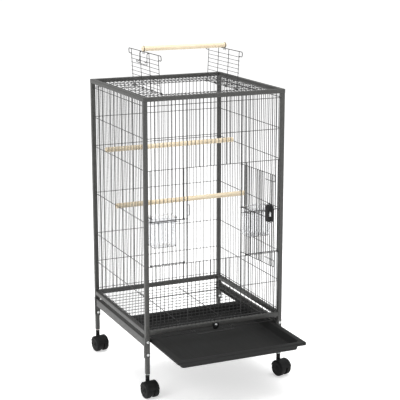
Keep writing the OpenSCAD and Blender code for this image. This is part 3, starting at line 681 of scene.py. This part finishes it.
def bolts():
    """Pan-head cross-recess bolts through posts, legs and brackets."""
    head_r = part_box("frame_bolts")[1].x - POST
    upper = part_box("frame_bolts")[1].z - head_r
    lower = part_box("frame_bolts")[0].z + head_r
    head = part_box("frame_bolts")[1].y - HALF
    made = Shape()
    slots = Shape()
    for side_x, side_y in CORNERS.values():
        for z, length in ((upper, TUBE + 0.5 * MM), (lower, TUBE + 6.5 * MM)):
            place = moved(side_x * POST, side_y * HALF, z) @ turned(-90 * side_y, "X")
            made.place = place
            crown = [(head_r * 0.55, head), (0, head)]
            edge = arc(head_r - 1.4 * MM, head - 1.4 * MM, 1.4 * MM, 0, 75, 4)
            shank = [(0, -length), (2.1 * MM, -length), (2.5 * MM, -length + 0.5 * MM), (2.5 * MM, 0)]
            made.lathe(shank + [(head_r, 0)] + edge + crown, 28)
            slots.place = place @ turned(20 + 40 * side_x * side_y)
            for wide, deep in ((4.4 * MM, 1.0 * MM), (1.0 * MM, 4.4 * MM)):
                slots.sheet(rectangle(wide, deep, 0.1 * MM, 1), head - 1.3 * MM, head + MM)
    piece = made.piece("cross_head_bolts", "cage_frame", "zinc", ZINC, ["frame_bolts"])
    carve(piece, slots)


def nuts_and_washers():
    """Chamfered hexagon nuts on the lower bolts and rounded nylon washers under the legs."""
    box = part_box("frame_nuts")
    z = (box[0].z + box[1].z) / 2
    far = -box[0].y
    nuts = Shape()
    for side_x, side_y in CORNERS.values():
        nuts.place = moved(side_x * POST, side_y * (far - 4 * MM), z) @ turned(-90 * side_y, "X")
        bore_r = 2.55
        rings = []
        for radius, height in ((4.1, 0), (4.6, 0.5), (4.6, 3.5), (4.1, 4), (bore_r, 4), (bore_r, 0)):
            turns = [math.pi / 3 * k for k in range(6)]
            rings.append([(radius * MM * math.cos(t), radius * MM * math.sin(t), height * MM) for t in turns])
        nuts.loft(rings, cyclic=True)
    nuts.piece("hex_nuts", "cage_frame", "zinc", ZINC, ["frame_nuts"])
    low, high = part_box("leg_washers")[0].z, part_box("leg_washers")[1].z
    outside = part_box("leg_washers")[1].x - POST
    washers = Shape()
    for side_x, side_y in CORNERS.values():
        washers.place = moved(side_x * POST, side_y * POST, 0)
        edge = (high - low) / 2
        rim = arc(outside - edge, (low + high) / 2, edge, -90, 90, 6)
        washers.lathe([(5.2 * MM, high), (5.2 * MM, low)] + rim, 32)
    washers.piece("nylon_washers", "cage_frame", "nylon", NYLON, ["leg_washers"])


# ---- perches ----

def dowel(shape, reach, radius, edge=1.2 * MM):
    """Round dowel about the local Z axis with softened ends."""
    lower = [(0, -reach)] + arc(radius - edge, -reach + edge, edge, -90, 0, 4)
    upper = arc(radius - edge, reach - edge, edge, 0, 90, 4) + [(0, reach)]
    shape.lathe(lower + upper, 40)


def perches():
    for i, name in enumerate(("perch_upper", "perch_lower")):
        low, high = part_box(name)
        middle = (low + high) / 2
        stick = Shape(moved(*middle) @ ALONG_X)
        dowel(stick, (high.x - low.x) / 2, (high.z - low.z) / 2)
        made = stick.piece("dowel_" + name, "cage_frame", "dowel", pine("pine_" + name, i + 1), [name])
        slots = Shape()
        for side in (-1, 1):
            slots.place = moved(side * (HALF - BAR_DEPTH), middle.y, middle.z)
            slots.sheet(rectangle(4 * BAR_R, 2.4 * MM, 0.2 * MM, 1), -12 * MM, 12 * MM)
        carve(made, slots)


# ---- main door ----

HINGE = Vector(JOINTS["main_door_hinge"]["pos_m"])
DOOR_ANGLE = -JOINTS["main_door_hinge"]["range_deg"][0]
DOOR_PLACE = moved(HINGE.x, HINGE.y, 0) @ turned(DOOR_ANGLE)
DOOR_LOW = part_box("main_door")[0].z + 1.2 * MM
DOOR_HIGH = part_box("main_door")[1].z - 1.2 * MM
DOOR_RUNG_Y = -3.05 * MM
DOOR_BAR_Y = DOOR_RUNG_Y - 2 * BAR_R + WELD
DOOR_FIRST = 12 * MM
DOOR_REACH = 172 * MM
DOOR_GAPS = 13
DOOR_PITCH = (DOOR_REACH - DOOR_FIRST) / DOOR_GAPS
LOOP_REACH = 188 * MM
LOOP_HIGH = 20 * MM
LOOP_BACK = 54 * MM
WINDOW_LOW = 552 * MM
WINDOW_HIGH = 606 * MM


def curled(z, straight):
    """Path of a door rung: its straight part, then the curl round the hinge post."""
    turns = [(CURL_R * math.cos(a), CURL_R * math.sin(a), z)
             for a in (math.radians(-90 + 24 * i) for i in range(14))]
    return straight + turns


def main_door():
    """Upright bars, three rungs curled round the hinge post, and the bent-back corner loops."""
    door = Shape(DOOR_PLACE)
    for i in range(DOOR_GAPS + 1):
        x = -DOOR_FIRST - i * DOOR_PITCH
        stretches = ((DOOR_LOW, DOOR_HIGH),)
        if i == DOOR_GAPS - 1:
            stretches = ((DOOR_LOW, WINDOW_LOW), (WINDOW_HIGH, DOOR_HIGH))
        for low, high in stretches:
            door.tube([(x, DOOR_BAR_Y, low - BAR_R * 0.4), (x, DOOR_BAR_Y, high + BAR_R * 0.4)], BAR_R)
    for z, inwards in ((DOOR_HIGH, -1), (DOOR_LOW, 1)):
        back = z + inwards * LOOP_HIGH
        loop = [(-LOOP_REACH + LOOP_BACK, DOOR_RUNG_Y, back), (-LOOP_REACH, DOOR_RUNG_Y, back),
                (-LOOP_REACH, DOOR_RUNG_Y, z)]
        bent = rounded(loop + [(0, DOOR_RUNG_Y, z)], 5 * MM)[:-1]
        door.tube(curled(z, [tuple(p) for p in bent]), BAR_R)
    last = -DOOR_FIRST - (DOOR_GAPS - 2) * DOOR_PITCH
    middle_z = 563 * MM
    door.tube(curled(middle_z, [(last - BAR_R, DOOR_RUNG_Y, middle_z)]), BAR_R)
    for z in (WINDOW_LOW, WINDOW_HIGH):
        door.tube([(-DOOR_REACH - BAR_R, DOOR_RUNG_Y, z), (last - BAR_R * 1.4, DOOR_RUNG_Y, z)], BAR_R)
    door.piece("door_wires", "main_door", "frame_coat", WIRE, ["main_door"])


def latch():
    """Moulded latch case with its cover plate, and the sliding tongue with a ribbed thumb knob."""
    low, high = WINDOW_LOW + 2.5 * MM, WINDOW_HIGH - 2.5 * MM
    middle_x = -160.1 * MM
    middle_z = (WINDOW_LOW + WINDOW_HIGH) / 2
    plate_y = DOOR_BAR_Y - BAR_R - 2 * MM
    case = Shape(DOOR_PLACE @ moved(middle_x, 0, middle_z) @ turned(90, "X"))
    half = (high - low) / 2
    case.slab(20.2 * MM, 2 * half, -7.1 * MM, -plate_y, 2.5 * MM, 0.8 * MM)
    case.place = DOOR_PLACE @ moved(middle_x - MM, 0, middle_z) @ turned(90, "X")
    case.slab(26.2 * MM, 2 * half, -plate_y - 2 * MM, -plate_y + 2 * MM, 3 * MM, 1.2 * MM)
    case = case.piece("latch_case", "main_door", "black_plastic", BLACK, ["latch_housing"])
    slot = Shape(DOOR_PLACE)
    slot.place = DOOR_PLACE @ moved(0, 1.5 * MM, middle_z - 7.4 * MM)
    slot.loft([[(x, 0, 0), (x, 3.8 * MM, 0), (x, 3.8 * MM, 14.8 * MM), (x, 0, 14.8 * MM)]
               for x in (-180.2 * MM, -152 * MM)])
    carve(case, slot)
    window = Shape(DOOR_PLACE @ moved(middle_x, 0, middle_z) @ turned(90, "X"))
    window.sheet(rectangle(14.6 * MM, 5.8 * MM, 0.6 * MM, 2), -4 * MM, 12 * MM)
    carve(case, window)
    knob_x = middle_x + 4 * MM
    knob_y = DOOR_BAR_Y - BAR_R - 4 * MM
    tongue = Shape(DOOR_PLACE @ moved(-(176.5 + 152.6) / 2 * MM, 3.4 * MM, middle_z) @ turned(90, "X"))
    tongue.slab(23.9 * MM, 14 * MM, -1.5 * MM, 1.5 * MM, 2 * MM, 0.6 * MM)
    tongue.place = DOOR_PLACE @ moved(knob_x, 0, middle_z) @ turned(90, "X")
    tongue.slab(5 * MM, 5 * MM, -3 * MM, -knob_y + 1 * MM, 0.8 * MM, 0.2 * MM)
    tongue.piece("latch_slider", "latch_tongue", "zinc", ZINC, ["latch_tongue"])
    knob = Shape(tongue.place)
    knob.slab(11 * MM, 18 * MM, -knob_y + 0.4 * MM, -knob_y + 5 * MM, 2.5 * MM, 1.2 * MM)
    for i in range(-2, 3):
        knob.place = DOOR_PLACE @ moved(knob_x, knob_y - 4.8 * MM, middle_z + i * 3 * MM) @ ALONG_X
        knob.lathe([(0, -4.2 * MM), (0.9 * MM, -4 * MM), (0.9 * MM, 4 * MM), (0, 4.2 * MM)], 12)
    knob.piece("thumb_knob", "latch_tongue", "black_plastic", BLACK)


# ---- feeders ----

def feeder_doors():
    """Sliding wire doors: thick top and bottom bars, with an eye round each guide rod."""
    bar_r = 1.5 * MM
    eye_r = 2.4 * MM
    for name, side in (("left", -1), ("right", 1)):
        node = "feeder_door_" + name
        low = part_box(node)[0].z + 2 * MM
        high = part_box(node)[1].z - 2 * MM
        door = Shape(wall_place("front"))
        near, far = (side * x for x in GUIDE_X)
        for z in (low, high):
            short = side * 1.9 * MM
            door.tube([(near + short, GUIDE_DEPTH, z), (far - short, GUIDE_DEPTH, z)], bar_r, sides=16)
            for x in (near, far):
                for level in (-0.95 * MM, 0.95 * MM):
                    ring = [(x + eye_r * math.cos(a), GUIDE_DEPTH + eye_r * math.sin(a), z + level)
                            for a in (math.radians(22.5 * k) for k in range(16))]
                    door.tube(ring, 0.95 * MM, sides=10, closed=True)
        for i in range(1, 8):
            x = near + (far - near) * i / 8
            door.tube([(x, GUIDE_DEPTH, low), (x, GUIDE_DEPTH, high)], BAR_R)
        door.piece("wires_" + node, node, "frame_coat", WIRE, [node])


def feeder_cups():
    """Moulded cups with a rolled rim, drafted walls, a rounded floor and two hooks."""
    for name in ("left", "right"):
        node = "feeder_cup_" + name
        low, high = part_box(node)
        wide, deep = high.x - low.x, 60 * MM
        middle_x, middle_y = (low.x + high.x) / 2, high.y - deep / 2
        tall = high.z - low.z
        cup = Shape(moved(middle_x, middle_y, low.z))
        wall, rim, draft = 1.6 * MM, 2.4 * MM, 2.5 * MM

        def level(inset, corner, z):
            return at_height(rectangle(wide - 2 * inset, deep - 2 * inset, corner, 5), z)

        rings = [level(draft + inset, 12 * MM - inset, z)
                 for inset, z in ((8 * MM, 0), (3 * MM, 0.4 * MM), (1 * MM, 2 * MM), (0, 5 * MM))]
        rings += [level(rim, 11 * MM, tall - 5 * MM)]
        rings += [level(inset, 12 * MM - inset, tall - drop)
                  for inset, drop in ((0.8 * MM, 4.2 * MM), (0, 3 * MM), (0, 1.2 * MM),
                                      (0.8 * MM, 0), (2.4 * MM, 0), (3.6 * MM, 1 * MM))]
        rings += [level(rim + wall, 10 * MM, tall - 5 * MM)]
        rings += [level(draft + wall + inset, 11 * MM - inset, z)
                  for inset, z in ((0, 6 * MM), (1 * MM, 3.4 * MM), (3 * MM, 2.2 * MM), (8 * MM, wall))]
        cup.loft(rings)
        hook_out = low.y
        for x in (-wide / 4, wide / 4):
            cup.place = moved(middle_x + x, 0, 0) @ ALONG_X
            top = 543.4 * MM
            front = middle_y - deep / 2
            tip, under, foot = 535 * MM, top - 2 * MM, top - 4 * MM
            path = [(front + 2.6 * MM, foot), (front + 2.6 * MM, top), (hook_out, top), (hook_out, tip),
                    (hook_out + 1.5 * MM, tip), (hook_out + 1.5 * MM, under),
                    (front + MM, under), (front + MM, foot)]
            cup.sheet(path, -7 * MM, 7 * MM)
        cup.piece("moulded_cup_" + name, node, "smoke_plastic", SMOKE, [node], sharp=50)


# ---- tray, floor grille and tray latch ----

def tray():
    """Pressed tray: turned-down lip, flat rim, drafted walls and a flat floor."""
    low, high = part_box("tray")
    wide, long = high.x - low.x, high.y - low.y
    pan = Shape(moved((low.x + high.x) / 2, (low.y + high.y) / 2, low.z))
    tall = high.z - low.z
    sheet, rim, lip, draft = 2 * MM, 18 * MM, 8.5 * MM, 4 * MM

    def level(inset, corner, z):
        return at_height(rectangle(wide - 2 * inset, long - 2 * inset, corner, 6), z)

    rings = [level(rim + draft + 6 * MM, 6 * MM, 0), level(rim + draft - 0.4 * MM, 8 * MM, 0),
             level(rim + draft - 1.8 * MM, 9 * MM, 1 * MM), level(rim + draft - 2.4 * MM, 10 * MM, 3 * MM),
             level(rim - 2 * MM, 10 * MM, tall - lip), level(rim - 2 * MM, 10 * MM, tall - sheet),
             level(2 * MM, 5 * MM, tall - sheet), level(2 * MM, 5 * MM, tall - lip),
             level(0.6 * MM, 6.4 * MM, tall - lip), level(0, 7 * MM, tall - lip + 0.8 * MM),
             level(0, 7 * MM, tall - 2.6 * MM), level(0.5 * MM, 6.6 * MM, tall - 1 * MM),
             level(1.4 * MM, 6 * MM, tall - 0.2 * MM), level(2.6 * MM, 6 * MM, tall),
             level(rim - 2 * MM, 12 * MM, tall), level(rim - 0.6 * MM, 11.4 * MM, tall - 0.5 * MM),
             level(rim + 0.3 * MM, 11 * MM, tall - 1.9 * MM),
             level(rim + draft - 1 * MM, 10 * MM, 6 * MM), level(rim + draft + 0.6 * MM, 9 * MM, 3.2 * MM),
             level(rim + draft + 3 * MM, 7 * MM, sheet), level(rim + draft + 12 * MM, 4 * MM, sheet)]
    pan.loft(rings)
    pan.piece("pressed_tray", "tray", "tray_coat", TRAY, ["tray"], sharp=50)


def floor_grille():
    """Cross wires on four long rods, with a bent pull handle in front."""
    low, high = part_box("floor_grille")
    rod = 1.25 * MM
    rod_z = low.z + rod
    cross_z = high.z - BAR_R
    half = high.x
    handle_half, handle_out = 62 * MM, 16 * MM
    front = low.y + handle_out + rod
    back = high.y - BAR_R
    gaps = 16
    step = (back - front) / gaps
    grille = Shape()
    for x in (-half + rod, -72 * MM, 72 * MM, half - rod):
        grille.tube([(x, front - BAR_R, rod_z), (x, back + BAR_R, rod_z)], rod)
    for i in range(gaps + 1):
        y = front + i * step
        grille.tube([(-half, y, cross_z), (half, y, cross_z)], BAR_R)
    y = front + step + BAR_R
    grille.tube([(-handle_half, y, rod_z), (-handle_half, front - handle_out, rod_z),
                 (handle_half, front - handle_out, rod_z), (handle_half, y, rod_z)], rod, bend=6 * MM)
    grille.piece("wires_floor_grille", "floor_grille", "frame_coat", WIRE, ["floor_grille"])


def tray_latch():
    """Moulded tongue that turns on its pin."""
    low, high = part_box("tray_latch")
    radius = 10 * MM
    back, front = high.y, low.y
    thick = back - front
    top = high.z
    tip = low.z + radius
    pin_z = JOINTS["tray_latch_turn"]["pos_m"][2]

    def outline(inset):
        r = radius - inset
        points = arc(0, tip, r, 180, 360, 14)
        points += arc(r - 3 * MM, top - inset - 3 * MM, 3 * MM, 0, 90, 4)
        points += arc(-r + 3 * MM, top - inset - 3 * MM, 3 * MM, 90, 180, 4)
        return points

    shape = Shape()
    rings = []
    for inset, y in ((0.8 * MM, back), (0.2 * MM, back - 0.3 * MM), (0, back - 0.9 * MM),
                     (0, front + 0.9 * MM), (0.2 * MM, front + 0.3 * MM), (0.8 * MM, front)):
        rings.append([(x, y, z) for x, z in outline(inset)])
    shape.loft(rings)
    piece = shape.piece("turn_latch", "tray_latch", "black_plastic", BLACK, ["tray_latch"])
    bore = Shape(moved(0, back + MM, pin_z) @ turned(90, "X"))
    bore.sheet([(x, y) for x, y in arc(0, 0, 2.8 * MM, 0, 345, 23)], 0, thick + 2 * MM)
    carve(piece, bore)


# ---- play top ----

TOP_SWING = JOINTS["top_door_left_hinge"]["range_deg"][1]
TOP_LONG = 116 * MM
TOP_FINE_FIRST = 12 * MM
TOP_FINE_PITCH = 12.4 * MM
TOP_CROSS_T = 3.05 * MM
TOP_FINE_T = TOP_CROSS_T + 2 * BAR_R - WELD
TOP_BAR_R = 1.25 * MM
TOP_CROSS_Y = 111 * MM
TOP_LOOP_Y = OPEN_Y + 13 * MM


def top_doors():
    """Play-top doors: four cross wires curled round the hinge rod, fine wires and a looped top bar."""
    tall = 15 * MM
    for name, side in (("left", -1), ("right", 1)):
        place = moved(side * ROD_X, 0, ROOF_Z) @ turned(180 if side > 0 else 0) @ turned(-TOP_SWING, "Y")
        door = Shape(place)
        for y in (-TOP_CROSS_Y, -TOP_CROSS_Y / 3, TOP_CROSS_Y / 3, TOP_CROSS_Y):
            curl = [(CURL_R * math.sin(a), y, CURL_R * math.cos(a))
                    for a in (math.radians(-24 * i) for i in range(13))]
            door.tube([(TOP_LONG, y, TOP_CROSS_T)] + curl, BAR_R)
        for i in range(8):
            x = TOP_FINE_FIRST + i * TOP_FINE_PITCH
            reach = TOP_CROSS_Y + 2 * MM
            door.tube([(x, -reach, TOP_FINE_T), (x, reach, TOP_FINE_T)], BAR_R * 0.85)
        loop_y = TOP_LOOP_Y - BAR_R
        path = [(TOP_LONG - tall, -TOP_CROSS_Y, TOP_CROSS_T), (TOP_LONG - tall, -loop_y, TOP_CROSS_T),
                (TOP_LONG, -loop_y, TOP_CROSS_T), (TOP_LONG, loop_y, TOP_CROSS_T),
                (TOP_LONG - tall, loop_y, TOP_CROSS_T), (TOP_LONG - tall, TOP_CROSS_Y, TOP_CROSS_T)]
        door.tube(path, TOP_BAR_R, bend=4.5 * MM)
        node = "top_door_" + name
        door.piece("wires_" + node, node, "frame_coat", WIRE, [node])


def top_perch():
    low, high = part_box("top_perch")
    middle = (low + high) / 2
    stick = Shape(moved(*middle) @ ALONG_X)
    dowel(stick, (high.x - low.x) / 2, (high.z - low.z) / 2)
    stick.piece("dowel_top_perch", "top_perch", "dowel", pine("pine_top_perch", 3), ["top_perch"])
    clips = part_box("perch_clips")
    clip_wide = 2 * MM
    clip_x = clips[1].x - clip_wide / 2
    band_in, band_out = (high.z - low.z) / 2 + 0.05 * MM, clips[1].z - middle.z
    band = Shape()
    for side in (-1, 1):
        band.place = moved(side * clip_x, 0, middle.z) @ ALONG_X
        band.lathe([(band_in, -MM), (band_out - 0.3 * MM, -MM), (band_out, -0.6 * MM), (band_out, 0.6 * MM),
                    (band_out - 0.3 * MM, MM), (band_in, MM)], 40)
        band.place = Matrix.Identity(4)
        for y in (-5 * MM, 5 * MM):
            band.tube([(side * clip_x, y, middle.z - 5.8 * MM), (side * clip_x, y, clips[0].z)], BAR_R)
    band.piece("perch_bands", "top_perch", "frame_coat", WIRE, ["perch_clips"])


def closing_hook():
    """Bent wire hook on the top bar of the left play-top door: two eyes, two prongs and a bowed arm."""
    pivot = Vector(JOINTS["closing_hook_swing"]["pos_m"])
    low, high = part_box("closing_hook")
    hook = Shape(moved(*pivot))
    leg_y = 30 * MM
    eye = 2.35 * MM
    leg_x = low.x - pivot.x + 8 * MM
    foot = low.z - pivot.z + 1.1 * MM
    arm = high.y - pivot.y - 1 * MM
    for y in (-leg_y, leg_y):
        ring = [(eye * math.cos(a), y, eye * math.sin(a))
                for a in (math.radians(156 + 24 * i) for i in range(7))]
        prong = [(leg_x - out * MM, y, -down * MM)
                 for out, down in ((0, 5), (0, 22), (1.5, 29), (6.5, 31), (7.2, 27))]
        hook.tube(ring + prong, BAR_R, bend=3 * MM)
        hook.tube([(leg_x, y, -20 * MM), (leg_x, y, foot)], BAR_R * 0.9)
    bow = ((-leg_y - 2 * MM, 0), (leg_y * 0.5, -0.1 * MM), (arm - 12 * MM, 1.5 * MM), (arm - 2 * MM, 4 * MM),
           (arm, 8 * MM))
    hook.tube([(leg_x, y, foot + up) for y, up in bow], BAR_R, bend=12 * MM)
    hook.piece("wire_hook", "closing_hook", "frame_coat", WIRE, ["closing_hook"])


# ---- casters ----

def casters():
    """Twin-wheel casters: rounded wheels under a moulded hood on a swivel stem."""
    wheel_r, gap, wheel_wide, trail = 25 * MM, 5 * MM, 17.5 * MM, 15 * MM
    reach = gap + wheel_wide
    for corner in CORNERS:
        swivel = JOINTS["caster_%s_swivel" % corner]["pos_m"]
        axis = JOINTS["wheels_%s_roll" % corner]["axis"]
        turn = math.degrees(math.atan2(axis[1], axis[0]))
        place = moved(swivel[0], swivel[1], 0) @ turned(turn)
        axle = place @ moved(0, trail, wheel_r) @ ALONG_X
        body = Shape(place)
        node = "caster_" + corner
        stem_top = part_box(node)[1].z
        neck_r, stem_r = 6.5 * MM, 4.8 * MM
        body.lathe([(0, 40 * MM), (6.2 * MM, 40 * MM), (neck_r, 49.6 * MM), (neck_r, LEG_LOW - 2.4 * MM),
                    (stem_r, LEG_LOW - 2.2 * MM), (stem_r, stem_top - MM), (4 * MM, stem_top),
                    (0, stem_top)], 28)
        body.place = axle
        axle_r, axle_half = 3 * MM, reach - 2 * MM
        body.lathe([(0, -axle_half), (axle_r, -axle_half), (axle_r, axle_half), (0, axle_half)], 24)
        web = [(axle_r, 4 * MM), (20 * MM, 4 * MM), (21 * MM, 3 * MM)]
        body.lathe([(r, -z) for r, z in web] + web[::-1], 40)
        outer, inner = wheel_r + 2.6 * MM, wheel_r + 0.8 * MM
        hood = reach - 2.5 * MM
        start, end = 13, 167
        soft = 1.7 * MM
        section = [(hood - soft * (1 - math.cos(a)), outer - soft * (1 - math.sin(a)))
                   for a in (math.radians(18 * k) for k in range(6))]
        section = section + [(-x, r) for x, r in reversed(section)]
        section += [(-hood, inner), (hood, inner)]
        rings = []
        for k in range(25):
            a = math.radians(start + (end - start) * k / 24)
            rings.append([(r * math.cos(a), r * math.sin(a), x) for x, r in section])
        body.loft(rings)
        body.place = place
        body.slab(8 * MM, 11 * MM, wheel_r + 4 * MM, 50 * MM, 1 * MM, 0.3 * MM)
        body.piece("hood_" + corner, node, "black_plastic", BLACK, [node])
        wheels = Shape()
        for side in (-1, 1):
            wheels.place = axle @ (turned(0) if side > 0 else turned(180, "X")) @ moved(0, 0, gap)
            tread = arc(wheel_r - 2.5 * MM, 2.5 * MM, 2.5 * MM, -90, 0, 4)
            tread += arc(wheel_r - 5 * MM, wheel_wide - 6 * MM, 5 * MM, 0, 80, 6)
            face = [(r * MM, wheel_wide - drop * MM) for r, drop in (
                (17, 0.8), (16.2, 1.7), (9, 1.7), (8.2, 0.6), (6, 0.1), (3.2, 0), (3.08, 0.4))]
            wheels.lathe([(3.08 * MM, 0)] + tread + face, 48)
        wheels.piece("twin_wheels_" + corner, "wheels_" + corner, "black_plastic", TYRE, ["wheels_" + corner])


# ---- studio ----

def studio():
    """Pale floor and soft light, with the camera at the photograph's angle."""
    bpy.ops.mesh.primitive_plane_add(size=80)
    floor = bpy.context.object
    floor.name = "studio_floor"
    pale = Surface("studio_pale", Roughness=0.9, Emission_Color=(1, 1, 1, 1), Emission_Strength=0.5)
    pale.colour(pale.ramp(pale.noise(3, 2), (0.0, (0.88, 0.88, 0.88)), (1.0, (0.9, 0.9, 0.9))))
    floor.data.materials.append(pale.material)

    world = bpy.data.worlds.new("studio_world")
    bpy.context.scene.world = world
    world.use_nodes = True
    nodes, links = world.node_tree.nodes, world.node_tree.links
    path = nodes.new("ShaderNodeLightPath")
    strength = nodes.new("ShaderNodeMapRange")
    strength.inputs["To Min"].default_value = 0.62
    strength.inputs["To Max"].default_value = 1.0
    links.new(path.outputs["Is Camera Ray"], strength.inputs["Value"])
    links.new(strength.outputs["Result"], nodes["Background"].inputs["Strength"])
    nodes["Background"].inputs["Color"].default_value = (1, 1, 1, 1)

    target = Vector((0.0526, 0, 0.5418))
    lamps = (("key", (-3.2, -1.2, 2.6), 2.0, 45), ("top", (0.3, -0.3, 4.2), 3.0, 110),
             ("fill", (2.6, -3.0, 1.8), 2.5, 14))
    for name, place, size, power in lamps:
        light = bpy.data.lights.new(name, "AREA")
        light.size = size
        light.energy = power
        lamp = bpy.data.objects.new(name, light)
        bpy.context.scene.collection.objects.link(lamp)
        lamp.location = place
        lamp.rotation_euler = (target - Vector(place)).to_track_quat("-Z", "Y").to_euler()

    azimuth, elevation, distance = math.radians(-24.35), math.radians(13.22), 3.8885
    lens = bpy.data.cameras.new("camera")
    lens.lens = 108.4
    lens.sensor_width = 36
    camera = bpy.data.objects.new("camera", lens)
    bpy.context.scene.collection.objects.link(camera)
    level = math.cos(elevation)
    away = Vector((math.sin(azimuth) * level, -math.cos(azimuth) * level, math.sin(elevation)))
    camera.location = target + away * distance
    camera.rotation_euler = (-away).to_track_quat("-Z", "Y").to_euler()
    bpy.context.scene.camera = camera
    bpy.context.scene.view_settings.view_transform = "Standard"


square_tubes()
latch_pin()
full_walls()
front_wall()
jambs()
feeder_guides()
roof()
stand_sides()
bolts()
nuts_and_washers()
perches()
main_door()
latch()
feeder_doors()
feeder_cups()
tray()
floor_grille()
tray_latch()
top_doors()
top_perch()
closing_hook()
casters()
studio()
